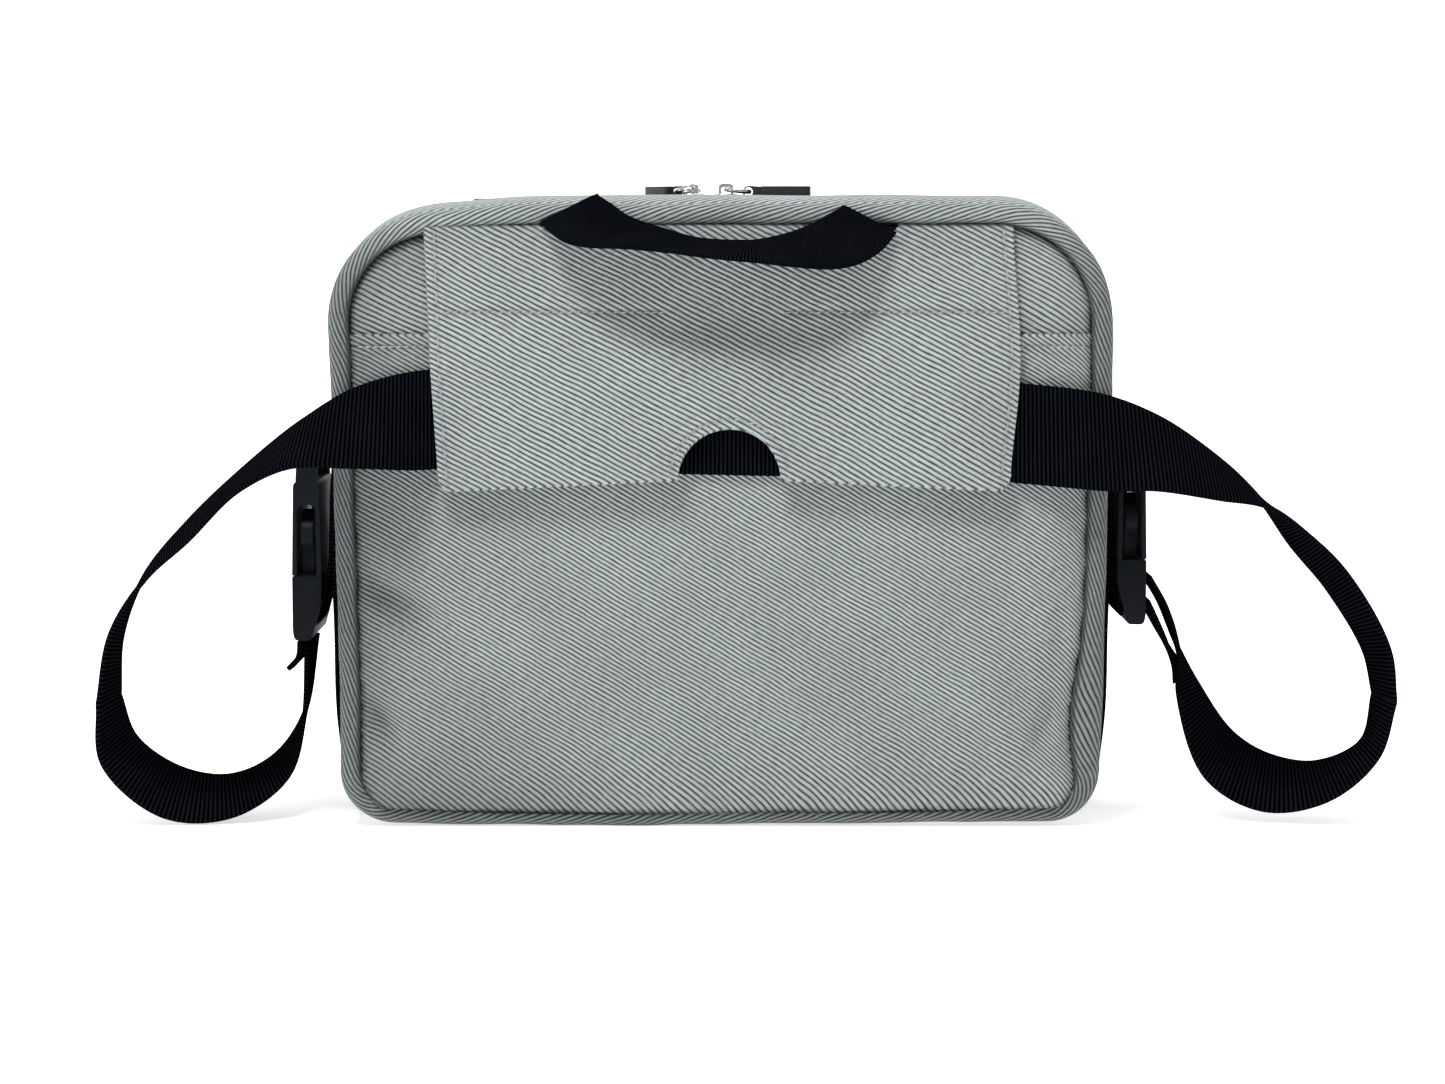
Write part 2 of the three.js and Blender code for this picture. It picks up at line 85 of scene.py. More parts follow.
# ---- materials ----
class Nodes:
    """A small helper for building one material's node tree."""

    def __init__(self, name):
        self.material = bpy.data.materials.new(name)
        self.material.use_nodes = True
        self.tree = self.material.node_tree
        self.tree.nodes.clear()
        self.output = self.tree.nodes.new("ShaderNodeOutputMaterial")
        self.shader = self.tree.nodes.new("ShaderNodeBsdfPrincipled")
        self.link(self.shader.outputs[0], self.output.inputs[0])

    def link(self, a, b):
        self.tree.links.new(a, b)

    def put(self, socket, value):
        if isinstance(value, bpy.types.NodeSocket):
            self.link(value, socket)
        else:
            socket.default_value = value

    def math(self, operation, *values):
        node = self.tree.nodes.new("ShaderNodeMath")
        node.operation = operation
        for socket, value in zip(node.inputs, values):
            self.put(socket, value)
        return node.outputs[0]

    def cloth(self):
        """Along and across the cloth, in millimetres, and how much painted shade it carries."""
        attribute = self.tree.nodes.new("ShaderNodeAttribute")
        attribute.attribute_name = "cloth"
        split = self.tree.nodes.new("ShaderNodeSeparateXYZ")
        self.link(attribute.outputs["Vector"], split.inputs[0])
        return split.outputs

    def join(self, x, y, z=0.0):
        node = self.tree.nodes.new("ShaderNodeCombineXYZ")
        for socket, value in zip(node.inputs, (x, y, z)):
            self.put(socket, value)
        return node.outputs[0]

    def place(self):
        return self.tree.nodes.new("ShaderNodeTexCoord").outputs["Object"]

    def noise(self, vector, scale, detail=2.0):
        node = self.tree.nodes.new("ShaderNodeTexNoise")
        self.link(vector, node.inputs["Vector"])
        node.inputs["Scale"].default_value = scale
        node.inputs["Detail"].default_value = detail
        return node.outputs["Fac"]

    def ramp(self, fac, stops):
        node = self.tree.nodes.new("ShaderNodeValToRGB")
        elements = node.color_ramp.elements
        while len(elements) < len(stops):
            elements.new(0.5)
        for element, (position, color) in zip(elements, stops):
            element.position = position
            element.color = (*color, 1)
        self.link(fac, node.inputs[0])
        return node.outputs[0]

    def tint(self, color, fac):
        """A colour multiplied by a number."""
        node = self.tree.nodes.new("ShaderNodeVectorMath")
        node.operation = "SCALE"
        self.link(color, node.inputs[0])
        self.put(node.inputs["Scale"], fac)
        return node.outputs[0]

    def bump(self, height, distance):
        node = self.tree.nodes.new("ShaderNodeBump")
        node.inputs["Distance"].default_value = distance
        self.link(height, node.inputs["Height"])
        self.link(node.outputs[0], self.shader.inputs["Normal"])

    def wave(self, value, pitch):
        """0 to 1 and back over each pitch."""
        turned = self.math("MULTIPLY", value, 2 * math.pi / pitch)
        return self.math("MULTIPLY_ADD", self.math("SINE", turned), 0.5, 0.5)

    def finish(self, color, roughness, sheen=0.0, specular=0.5, metallic=0.0):
        self.put(self.shader.inputs["Base Color"], color)
        self.put(self.shader.inputs["Roughness"], roughness)
        self.shader.inputs["Sheen Weight"].default_value = sheen
        self.shader.inputs["Specular IOR Level"].default_value = specular
        self.shader.inputs["Metallic"].default_value = metallic
        return self.material


def twill_material(name, ridge, groove, angle=WALE_ANGLE, pitch=WALE_PITCH, depth=0.0007):
    n = Nodes(name)
    u, v, seam = n.cloth()
    wander = n.noise(n.join(u, v), 0.035, 2)
    cross = n.math("ADD", n.math("MULTIPLY", u, math.sin(angle)), n.math("MULTIPLY", v, math.cos(angle)))
    cross = n.math("ADD", cross, n.math("MULTIPLY", wander, 2.5))
    along = n.math("SUBTRACT", n.math("MULTIPLY", u, math.cos(angle)), n.math("MULTIPLY", v, math.sin(angle)))
    wale = n.math("POWER", n.wave(cross, pitch), 0.55)
    slanted = n.math("ADD", along, n.math("MULTIPLY", cross, 0.9))
    bead = n.wave(slanted, 0.62)
    slub = n.noise(n.join(n.math("MULTIPLY", along, 0.28), cross), 1.1, 2)
    patch = n.noise(n.join(u, v), 0.022, 3)
    height = n.math("ADD", n.math("MULTIPLY", wale, 0.8), n.math("MULTIPLY", bead, 0.2))
    shade = n.math("ADD", n.math("MULTIPLY", wale, 0.66), n.math("MULTIPLY", slub, 0.4))
    shade = n.math("ADD", shade, n.math("MULTIPLY", n.math("SUBTRACT", bead, 0.5), 0.2))
    middle = [0.45 * a + 0.55 * b for a, b in zip(groove, ridge)]
    # The colour follows the wales: the grooves between them are painted dark as shade and the ridges light;
    # slub, beads and patches add uneven tone.
    color = n.ramp(shade, [(0.3, groove), (0.6, middle), (0.95, ridge)])
    color = n.tint(color, n.math("MULTIPLY_ADD", patch, 0.34, 0.83))
    # Painted shade: the cloth's third measure darkens it in seam grooves, stitch dips and other shaded
    # places.
    color = n.tint(color, n.math("MULTIPLY_ADD", seam, -0.85, 1.0))
    n.bump(height, depth)
    return n.finish(color, n.math("MULTIPLY_ADD", wale, -0.15, 0.8), sheen=0.12, specular=0.3)


def webbing_material(name, light, dark, pitch=RIB_PITCH, bead_pitch=1.05):
    n = Nodes(name)
    u, v = n.cloth()[:2]
    # A random worn tone, with no light or shade in it.
    wear_and_shade = n.noise(n.join(u, v), 0.05, 3)
    row = n.math("FLOOR", n.math("DIVIDE", u, pitch))
    shift = n.math("MULTIPLY", row, 0.5 * bead_pitch)
    rib = n.wave(u, pitch)
    bead = n.wave(n.math("ADD", v, shift), bead_pitch)
    fuzz = n.noise(n.join(u, v), 1.6, 2)
    beaded = n.math("MULTIPLY", n.math("MULTIPLY", rib, bead), 0.5)
    height = n.math("ADD", n.math("MULTIPLY", rib, 0.65), beaded)
    # The colour follows the height: hollows between ribs and beads are painted dark as shade, their tops
    # light; fuzz adds uneven tone.
    shade = n.math("ADD", n.math("MULTIPLY", height, 0.62), n.math("MULTIPLY", fuzz, 0.4))
    color = n.ramp(shade, [(0.3, dark), (0.95, light)])
    color = n.tint(color, n.math("MULTIPLY_ADD", wear_and_shade, 0.8, 0.6))
    n.bump(height, 0.0004)
    return n.finish(color, n.math("MULTIPLY_ADD", fuzz, 0.2, 0.6), specular=0.0)


def handle_material(name, light, dark):
    return webbing_material(name, light, dark, pitch=0.95, bead_pitch=1.3)


def tape_material(name, light, dark):
    return webbing_material(name, light, dark, pitch=0.8, bead_pitch=0.7)


def moulded_material(name, color, roughness, grain=1.0, specular=0.5):
    n = Nodes(name)
    place = n.place()
    fine = n.noise(place, 2600, 3)
    broad = n.noise(place, 45, 3)
    base = n.ramp(broad, [(0.3, [c * 0.82 for c in color]), (0.7, [c * 1.15 for c in color])])
    n.bump(fine, 0.00004 * grain)
    return n.finish(base, n.math("MULTIPLY_ADD", broad, 0.16, roughness - 0.08), specular=specular)


def metal_material(name):
    n = Nodes(name)
    place = n.place()
    smear = n.noise(place, 350, 4)
    color = n.ramp(smear, [(0.3, (0.62, 0.62, 0.63)), (0.7, (0.86, 0.86, 0.87))])
    n.bump(n.noise(place, 900, 2), 0.00002)
    return n.finish(color, n.math("MULTIPLY_ADD", smear, 0.14, 0.1), metallic=1.0)


def thread_material(name, color):
    n = Nodes(name)
    place = n.place()
    ply = n.noise(place, 1800, 2)
    base = n.ramp(ply, [(0.3, [c * 0.7 for c in color]), (0.7, color)])
    n.bump(ply, 0.00005)
    return n.finish(base, 0.7, sheen=0.1, specular=0.25)


def board_material(name):
    n = Nodes(name)
    grain = n.noise(n.place(), 600, 4)
    n.bump(grain, 0.00008)
    return n.finish(n.ramp(grain, [(0.3, (0.035, 0.035, 0.035)), (0.7, (0.06, 0.06, 0.06))]), 0.7)


def make_materials():
    return {
        # Twill colours: ridge, then groove, the groove painted dark as shade between the wales.
        "twill": twill_material("grey_twill", (0.56, 0.62, 0.61), (0.02, 0.028, 0.03)),
        "piping": twill_material("rolled_twill", (0.52, 0.58, 0.57), (0.012, 0.018, 0.02),
                                 BIAS_ANGLE, BIAS_PITCH, 0.0009),
        # Webbing colours: rib tops, then hollows, the hollows painted dark as shade.
        "webbing": webbing_material("black_webbing", (0.0115, 0.013, 0.0175), (0.0004, 0.0005, 0.001)),
        "handle": handle_material("pebbled_webbing", (0.0125, 0.0145, 0.0195), (0.0005, 0.0006, 0.0012)),
        "tape": tape_material("black_tape", (0.018, 0.019, 0.022), (0.005, 0.005, 0.007)),
        "coil": moulded_material("coil_nylon", (0.014, 0.014, 0.016), 0.35),
        "metal": metal_material("nickel_plate"),
        "pull": moulded_material("moulded_rubber", (0.018, 0.02, 0.024), 0.42, grain=0.6),
        "buckle": moulded_material("slate_acetal", (0.0065, 0.0085, 0.0118), 0.5, grain=1.4, specular=0.09),
        "thread": thread_material("grey_thread", (0.42, 0.46, 0.455)),
        "board": board_material("stiff_board"),
    }


# ---- mesh building ----
def link_mesh(name, vertices, faces, material, cloth=None, smooth=True):
    """A mesh object from points in millimetres, its faces turned out, with its cloth measure."""
    mesh = bpy.data.meshes.new(name)
    mesh.from_pydata((np.asarray(vertices) * MM).tolist(), [], faces)
    if cloth is not None:
        attribute = mesh.attributes.new("cloth", "FLOAT_VECTOR", "POINT")
        flat = np.zeros((len(vertices), 3), np.float32)
        flat[:, :cloth.shape[1]] = cloth
        attribute.data.foreach_set("vector", flat.ravel())
    work = bmesh.new()
    work.from_mesh(mesh)
    bmesh.ops.recalc_face_normals(work, faces=work.faces)
    work.to_mesh(mesh)
    work.free()
    mesh.polygons.foreach_set("use_smooth", [smooth] * len(mesh.polygons))
    mesh.materials.append(material)
    piece = bpy.data.objects.new(name, mesh)
    bpy.context.scene.collection.objects.link(piece)
    return piece


def grid_faces(rows, columns, start=0, close_rows=False, close_columns=False):
    faces = []
    for i in range(rows if close_rows else rows - 1):
        for j in range(columns if close_columns else columns - 1):
            a = start + i * columns + j
            b = start + i * columns + (j + 1) % columns
            c = start + (i + 1) % rows * columns + (j + 1) % columns
            d = start + (i + 1) % rows * columns + j
            faces.append((a, b, c, d))
    return faces


def surface_normals(points):
    normal = np.cross(np.gradient(points, axis=0), np.gradient(points, axis=1))
    return normal / np.maximum(np.linalg.norm(normal, axis=2, keepdims=True), 1e-9)


def sheet_mesh(name, points, cloth, thick, material, back=None):
    """A closed sheet with a rounded rim: points are its front face, (rows, columns, 3) in millimetres."""
    rows, columns = points.shape[:2]
    if back is None:
        back = points + surface_normals(points) * thick
    count = rows * columns
    rim = [(0, j) for j in range(columns)] + [(i, columns - 1) for i in range(1, rows)]
    rim += [(rows - 1, j) for j in range(columns - 2, -1, -1)] + [(i, 0) for i in range(rows - 2, 0, -1)]
    middle = []
    for i, j in rim:
        inner = points[min(max(i, 1), rows - 2), min(max(j, 1), columns - 2)]
        out = points[i, j] - inner
        out = out / max(np.linalg.norm(out), 1e-9)
        middle.append((points[i, j] + back[i, j]) / 2 + out * thick * 0.5)
    vertices = np.concatenate([points.reshape(-1, 3), back.reshape(-1, 3), np.array(middle)])
    cloth_rim = np.array([cloth[i, j] for i, j in rim])
    flat = cloth.reshape(count, -1)
    marks = np.concatenate([flat, flat, cloth_rim])
    faces = grid_faces(rows, columns) + grid_faces(rows, columns, count)
    for k, (i, j) in enumerate(rim):
        p, q = rim[(k + 1) % len(rim)]
        a, b = i * columns + j, p * columns + q
        m, o = 2 * count + k, 2 * count + (k + 1) % len(rim)
        faces.append((a, b, o, m))
        faces.append((m, o, b + count, a + count))
    return link_mesh(name, vertices, faces, material, marks)


def hoop_mesh(name, sections, marks, material, close_along=True):
    """A closed tube from its sections, (along, around, 3); capped where it doesn't close on itself."""
    along, around = sections.shape[:2]
    faces = grid_faces(along, around, close_rows=close_along, close_columns=True)
    if not close_along:
        faces.append(tuple(range(around)))
        faces.append(tuple(range((along - 1) * around, along * around)))
    return link_mesh(name, sections.reshape(-1, 3), faces, material, marks.reshape(along * around, -1))


def smooth_path(points, count):
    """Points along a centripetal curve, in equal shares of its spans, so that two edges stay paired."""
    p = np.asarray(points, float)
    p = np.concatenate([[2 * p[0] - p[1]], p, [2 * p[-1] - p[-2]]])
    path = []
    for place in np.linspace(0, len(p) - 3, count):
        k = min(int(place), len(p) - 4)
        a, b, c, d = p[k:k + 4]
        t1 = np.linalg.norm(b - a) ** 0.5
        t2 = t1 + np.linalg.norm(c - b) ** 0.5
        t3 = t2 + np.linalg.norm(d - c) ** 0.5
        t = t1 + (t2 - t1) * (place - k)
        ab = a * (t1 - t) / t1 + b * t / t1
        bc = b * (t2 - t) / (t2 - t1) + c * (t - t1) / (t2 - t1)
        cd = c * (t3 - t) / (t3 - t2) + d * (t - t2) / (t3 - t2)
        abc = ab * (t2 - t) / t2 + bc * t / t2
        bcd = bc * (t3 - t) / (t3 - t1) + cd * (t - t1) / (t3 - t1)
        path.append(abc * (t2 - t) / (t2 - t1) + bcd * (t - t1) / (t2 - t1))
    return np.array(path)


def even(points, count):
    """The same line in count points, evenly spaced."""
    step = np.linalg.norm(np.diff(points, axis=0), axis=1)
    length = np.concatenate([[0], np.cumsum(step)])
    at = np.linspace(0, length[-1], count)
    return np.stack([np.interp(at, length, points[:, k]) for k in range(points.shape[1])], axis=1)


def band_section(width, thick, count=5):
    """The outline of a flat band's section, with round edges, as (across, out)."""
    half, r = width / 2, thick / 2
    flat = np.linspace(-(half - r), half - r, 9)
    top = [(a, r) for a in flat]
    turn = np.linspace(math.pi / 2, -math.pi / 2, count)[1:-1]
    right = [(half - r + r * math.cos(t), r * math.sin(t)) for t in turn]
    return np.array(top + right + [(-a, -b) for a, b in top] + [(-a, -b) for a, b in right])


def ribbon(name, middle, across, width, thick, material, offset=0.0, along_start=0.0):
    """Flat webbing along a line of middles, with the direction across it at each."""
    across = across / np.linalg.norm(across, axis=1, keepdims=True)
    tangent = np.gradient(middle, axis=0)
    out = np.cross(tangent, across)
    out = out / np.maximum(np.linalg.norm(out, axis=1, keepdims=True), 1e-9)
    section = band_section(width, thick)
    sections = (middle[:, None] + across[:, None] * section[None, :, :1]
                + out[:, None] * (section[None, :, 1:] + offset))
    length = np.concatenate([[0], np.cumsum(np.linalg.norm(np.diff(middle, axis=0), axis=1))]) + along_start
    marks = np.zeros((len(middle), len(section), 2))
    marks[..., 0] = length[:, None]
    marks[..., 1] = section[None, :, 0]
    return hoop_mesh(name, sections, marks, material, close_along=False)


def stitches(name, runs, material, pitch=2.9, length=2.1, radius=0.32, slant=0.0):
    """Rows of thread: each run is (points, outward normals); every stitch is a small bead of thread."""
    vertices, faces = [], []
    rings = [(-0.5, 0.35), (-0.25, 0.95), (0.25, 0.95), (0.5, 0.35)]
    sides = 6
    for points, normals in runs:
        points = np.asarray(points, float)
        step = np.linalg.norm(np.diff(points, axis=0), axis=1)
        distance = np.concatenate([[0], np.cumsum(step)])
        for at in np.arange(pitch / 2, distance[-1], pitch):
            here = np.array([np.interp(at, distance, points[:, k]) for k in range(3)])
            ahead = np.array([np.interp(at + 0.5, distance, points[:, k]) for k in range(3)])
            behind = np.array([np.interp(at - 0.5, distance, points[:, k]) for k in range(3)])
            out = np.array([np.interp(at, distance, normals[:, k]) for k in range(3)])
            out /= np.linalg.norm(out)
            way = ahead - behind
            way /= max(np.linalg.norm(way), 1e-9)
            side = np.cross(out, way)
            c, s = math.cos(slant), math.sin(slant)
            way, side = way * c + side * s, side * c - way * s
            start = len(vertices)
            for shift, swell in rings:
                for k in range(sides):
                    turn = 2 * math.pi * k / sides
                    flat = side * math.cos(turn) + out * math.sin(turn) * 0.8
                    vertices.append(here + way * shift * length + flat * radius * swell)
            faces += grid_faces(len(rings), sides, start, close_columns=True)
            faces.append(tuple(range(start, start + sides)))
            faces.append(tuple(range(start + (len(rings) - 1) * sides, start + len(rings) * sides)))
    return link_mesh(name, vertices, faces, material)


def lump(x, y, z, seed, size):
    """Smooth unevenness between about -1 and 1, size millimetres across."""
    return noise.noise(Vector((x / size + seed * 7.31, y / size + seed * 3.17, z / size - seed * 5.71)))


# ---- the bag's outline ----
def outline(inset, rise=0.0, top=TOP, count=480):
    """Points (x, z) round the bag's front view, from bottom middle towards +X, evenly spaced."""
    low, high = inset + rise, top - inset
    bottom, upper = HALF_BOTTOM - inset, HALF_TOP - inset
    small, large = RADIUS_BOTTOM - inset, RADIUS_TOP - inset
    corners = [(bottom, low, small), (upper, high, large), (-upper, high, large), (-bottom, low, small)]
    points = [np.array([0.0, low])]
    for k, (x, z, r) in enumerate(corners):
        here = np.array([x, z])
        before, after = np.array(corners[k - 1][:2]), np.array(corners[(k + 1) % 4][:2])
        inward = (before - here) / np.linalg.norm(before - here) * r
        onward = (after - here) / np.linalg.norm(after - here) * r
        start, end = here + inward, here + onward
        c1, c2 = start - inward * 0.5523, end - onward * 0.5523
        for t in np.linspace(0, 1, 24):
            s = 1 - t
            points.append(s ** 3 * start + 3 * s * s * t * c1 + 3 * s * t * t * c2 + t ** 3 * end)
    points.append(points[0])
    return even(np.array(points), count + 1)[:-1]


def outward(points):
    """Outward normals of a closed outline drawn anticlockwise in (x, z)."""
    tangent = np.roll(points, -1, axis=0) - np.roll(points, 1, axis=0)
    normal = np.stack([tangent[:, 1], -tangent[:, 0]], axis=1)
    return normal / np.linalg.norm(normal, axis=1, keepdims=True)


def bottom_wave(x):
    """How the underside scallops between its creases, in millimetres up."""
    scallop = 0.45 * math.sin(x / 17.0 + 0.6) * math.exp(-((x + 18) / 75) ** 2)
    return scallop - 1.25 + 1.3 / (1 + math.exp((60 - x) / 22)) + 0.9 / (1 + math.exp((x + 118) / 7))


def gather(x, z):
    """How far the lower right seam is drawn in, which fattens the rolled edge there."""
    return 2.2 * math.exp(-((z - 42) / 24) ** 2) * min(1.0, max(0.0, (x - 60) / 70))


def side_bulge(z):
    """How far the slack sides stand out beyond the outline."""
    low = 1 / (1 + math.exp((26 - z) / 7))
    high = 1 / (1 + math.exp((z - 128) / 9))
    return 3.0 * low * high


def slump(p):
    """Takes the stiffness out of the body: small shifts that all its pieces share."""
    x, y, z = p
    low = max(0.0, 1 - z / 40)
    dz = bottom_wave(x) * low
    dz -= 2.8 * math.exp(-((x + 112) / 24) ** 2) * min(1.0, max(0.0, (z - 190) / 40))
    dx = 0.8 * lump(0, y * 0.3, z, 3, 55) * min(1.0, abs(x) / 150)
    return np.array([x + dx, y, max(0.1, z + dz)])


# ---- rolled edges ----
def rolled_edge(name, side, material):
    """The thick piped edge round one panel: side is -1 for the carry side."""
    count, around = 560, 20
    path = outline(PIPING_RADIUS, PIPING_RISE, TOP - PIPING_RISE, count)
    normal = outward(path)
    path, normal = np.concatenate([path, path[:1]]), np.concatenate([normal, normal[:1]])
    count += 1
    step = np.linalg.norm(np.diff(path, axis=0), axis=1)
    length = np.concatenate([[0], np.cumsum(step)])
    rib = BIAS_PITCH / math.sin(BIAS_ANGLE)
    stretch = round(length[-1] / rib) * rib / length[-1]
    sections = np.zeros((count, around, 3))
    marks = np.zeros((count, around, 3))
    for i in range(count):
        fat = gather(*path[i]) if side < 0 else 0.0
        reach = PIPING_RADIUS * (1 + 0.07 * lump(path[i, 0], 0, path[i, 1], 5, 16))
        shift = 0.35 * lump(path[i, 0], 0, path[i, 1], 8, 24)
        # Painted shade on the roll's sides and, more, on its underside.
        wear_and_shade = 0.5 * abs(normal[i, 0]) ** 2 + 0.6 * max(0.0, -normal[i, 1]) ** 2
        for k in range(around):
            turn = 2 * math.pi * k / around
            out = (reach + fat) * math.cos(turn) + shift - fat
            x = path[i, 0] + normal[i, 0] * out
            z = path[i, 1] + normal[i, 1] * out
            y = side * (PIPING_Y + reach * math.sin(turn) * 0.98)
            sections[i, k] = slump((x, y, z))
            # Painted shade: dark on the roll's inner side, in the groove beside the panel, and on its sides
            # and underside.
            seam = max(0.0, (-math.cos(turn) - 0.6) / 0.4) ** 1.3 + wear_and_shade
            marks[i, k] = (length[i] * stretch, side * PIPING_RADIUS * turn, min(1.0, seam))
    return hoop_mesh(name, sections, marks, material, close_along=False)


# ---- panels ----
def nearest_edge(points, edge):
    """For each (x, z): how far the edge line is, and how far round it the nearest point lies."""
    flat = points.reshape(-1, 2)
    distance = np.linalg.norm(flat[:, None] - edge[None], axis=2)
    index = distance.argmin(axis=1)
    return distance.min(axis=1).reshape(points.shape[:-1]), index.reshape(points.shape[:-1])


def panel_grid(edge, low, high, rows, columns):
    """Points (x, z) that fill the outline between two heights, row by row."""
    t = np.linspace(0, 1, rows)
    heights = low + (high - low) * (0.65 * t + 0.35 * (0.5 - 0.5 * np.cos(math.pi * t)))
    s = np.linspace(-1, 1, columns)
    s = 0.8 * s + 0.2 * np.sin(s * math.pi / 2)
    right = edge[: len(edge) // 2]
    order = np.argsort(right[:, 1])
    half = np.interp(heights, right[order, 1], right[order, 0])
    return np.stack([half[:, None] * s[None], np.repeat(heights[:, None], columns, axis=1)], axis=2)


def tucked_panel(name, side, y_face, low, high, seed, material, puff, thick=1.4, hem=False, weave=1.0):
    """A sewn panel: full in the middle, tucked in at the seam, puckered near it."""
    edge = outline(SEAM_INSET, PIPING_RISE, TOP - PIPING_RISE, 480)
    edge_low, edge_high = edge[:, 1].min() + 0.01, edge[:, 1].max() - 0.01
    grid = panel_grid(edge, max(low, edge_low), min(high, edge_high), 120, 150)
    distance, index = nearest_edge(grid, edge)
    gathers = 36  # puckers in one turn round the seam
    around = 2 * math.pi * gathers * index / len(edge)
    points = np.zeros((*grid.shape[:2], 3))
    seam = np.zeros(grid.shape[:2])
    bend = np.zeros(grid.shape[:2])
    for i in range(grid.shape[0]):
        for j in range(grid.shape[1]):
            x, z = grid[i, j]
            d, s = distance[i, j], around[i, j]
            sag = max(0.0, 1 - z / 34) ** 2 if hem else 0.0
            roll = 5.0 * math.exp(-d / 1.1) * (1 - 1.2 * sag) + (2.6 - 2.2 * sag) * (1 - min(d / 24, 1)) ** 2
            full = puff(x, z) * min(1.0, d / 9) ** 0.6
            near_x, near_z = edge[index[i, j]]
            tight = 0.55 + 0.45 * lump(near_x, 0, near_z, seed, 90)
            wander = 2.2 * lump(near_x, 0, near_z, seed + 1, 30)
            pucker = 0.75 * tight * math.exp(-d / 11) * math.sin(s + wander)
            broad = 1.1 * lump(x, 0, z, seed + 2, 70) + 0.45 * lump(x, 3, z, seed + 3, 28)
            fine = 0.12 * lump(x, 9, z, seed + 4, 9)
            rise = hem_rise(z, high) if hem else 0.0
            out = full + (broad + fine) * min(1.0, d / 14) + pucker * min(1.0, d / 3) + rise - roll
            drawn = 2 * gather(x, z) * math.exp(-d / 30) if side < 0 else 0.0
            points[i, j] = slump((x - drawn, y_face + side * (out + 4.6 * sag), z - 5.2 * sag))
            # Painted shade, kept in the cloth's third measure: dark in the seam groove, a little darker near
            # the seam, in the pocket hem's stitch dip, and towards the left seam.
            stitched = 0.4 * math.exp(-((high - z - 4.2) / 0.5) ** 2) if hem else 0.0
            painted_left_shade = 0.42 * math.exp(-d / 30) / (1 + math.exp((x + 60) / 15))
            seam[i, j] = min(1.0, math.exp(-(d / 1.15) ** 2) + 0.2 * math.exp(-d / 7) + stitched + painted_left_shade)
            bend[i, j] = (3.2 + 1.8 * math.tanh(x / 60)) * math.exp(-d / 8)
    cloth = turned(np.stack([-side * grid[..., 0], grid[..., 1] + bend], axis=2), 3 if hem else 0) * weave
    cloth = np.concatenate([cloth, seam[..., None]], axis=2)
    back = points.copy()
    back[..., 1] -= side * thick
    return sheet_mesh(name, points, cloth, thick, material, back)


def turned(cloth, degrees):
    """The cloth's measure, with its weave turned by an angle."""
    a = math.radians(degrees)
    u, v = cloth[..., 0], cloth[..., 1]
    return np.stack([u * math.cos(a) - v * math.sin(a), u * math.sin(a) + v * math.cos(a)], axis=-1)


def hem_rise(z, top):
    """A turned hem: thicker over its depth, with a dip at its stitch line."""
    depth = 7.0
    below = top - z
    rise = 0.6 / (1 + math.exp((below - depth) / 0.5))
    return rise - 0.4 * math.exp(-((below - 4.2) / 0.6) ** 2)


def rear_fullness(x, z):
    """How far the carry side stands out below its pocket mouth."""
    lower = math.exp(-((z - 62) / 46) ** 2)
    dents = dent(x, z, (-121, 87), -36, 19, 6.5, 6.5) + dent(x, z, (-131, 41), -55, 11, 5.0, 7.5)
    dents += dent(x, z, (127, 40), 62, 16, 4.5, 3.2) + dent(x, z, (131, 72), 84, 18, 4.0, 2.2)
    return 1.6 * lower - dents


def dent(x, z, centre, degrees, length, width, depth):
    """A short crease across a panel, as a depth, its line turned by an angle from +X."""
    a = math.radians(degrees)
    along = (x - centre[0]) * math.cos(a) + (z - centre[1]) * math.sin(a)
    beside = (z - centre[1]) * math.cos(a) - (x - centre[0]) * math.sin(a)
    return depth * math.exp(-(along / length) ** 2 - (beside / width) ** 2)


def rear_recess(x, z):
    """The rear panel lies back inside the pocket, so that the pocket hides it."""
    return -0.3 - 8.0 / (1 + math.exp((z - 172) / 3))


def front_fullness(x, z):
    return 3.0 * math.exp(-((x / 110) ** 2) - ((z - 110) / 90) ** 2)


# ---- gusset ----
def gusset():
    """The strip between the two rolled edges, open along its top for the zip."""
    count = 480
    path = outline(0.0, 0.0, TOP, count)
    normal = outward(path)
    across = np.concatenate([np.linspace(-48.5, -MOUTH["gap"], 15), np.linspace(MOUTH["gap"], 48.5, 15)])
    step = np.linalg.norm(path[1] - path[0])
    outer = np.zeros((count, len(across), 3))
    inner = np.zeros_like(outer)
    marks = np.zeros((count, len(across), 2))
    for i in range(count):
        upness = max(0.0, normal[i, 1])
        for k, y in enumerate(across):
            share = 1 - (abs(y) / 48.5) ** 2
            seam = 2.2 * max(0.0, (abs(y) - 42) / 6.5) ** 2
            top_crown = 2.6 * math.exp(-((abs(y) - 30) / 13) ** 2) * upness ** 2
            beside = abs(normal[i, 0]) ** 3
            side_crown = side_bulge(path[i, 1]) * min(1.0, 1.25 * share) * beside
            side_crown += 0.5 * lump(path[i, 0], y, path[i, 1], 11, 34)
            mouth_lip = 0.5 * math.exp(-((abs(y) - MOUTH["gap"] - 2) / 1.6) ** 2) * upness
            out = top_crown + side_crown - seam + mouth_lip - 0.9
            bare = path[i] + normal[i] * out
            outer[i, k] = slump((bare[0], y, bare[1]))
            thin = path[i] + normal[i] * (out - 1.4)
            inner[i, k] = slump((thin[0], y, thin[1]))
            marks[i, k] = (i * step, y)
    return outer, inner, marks


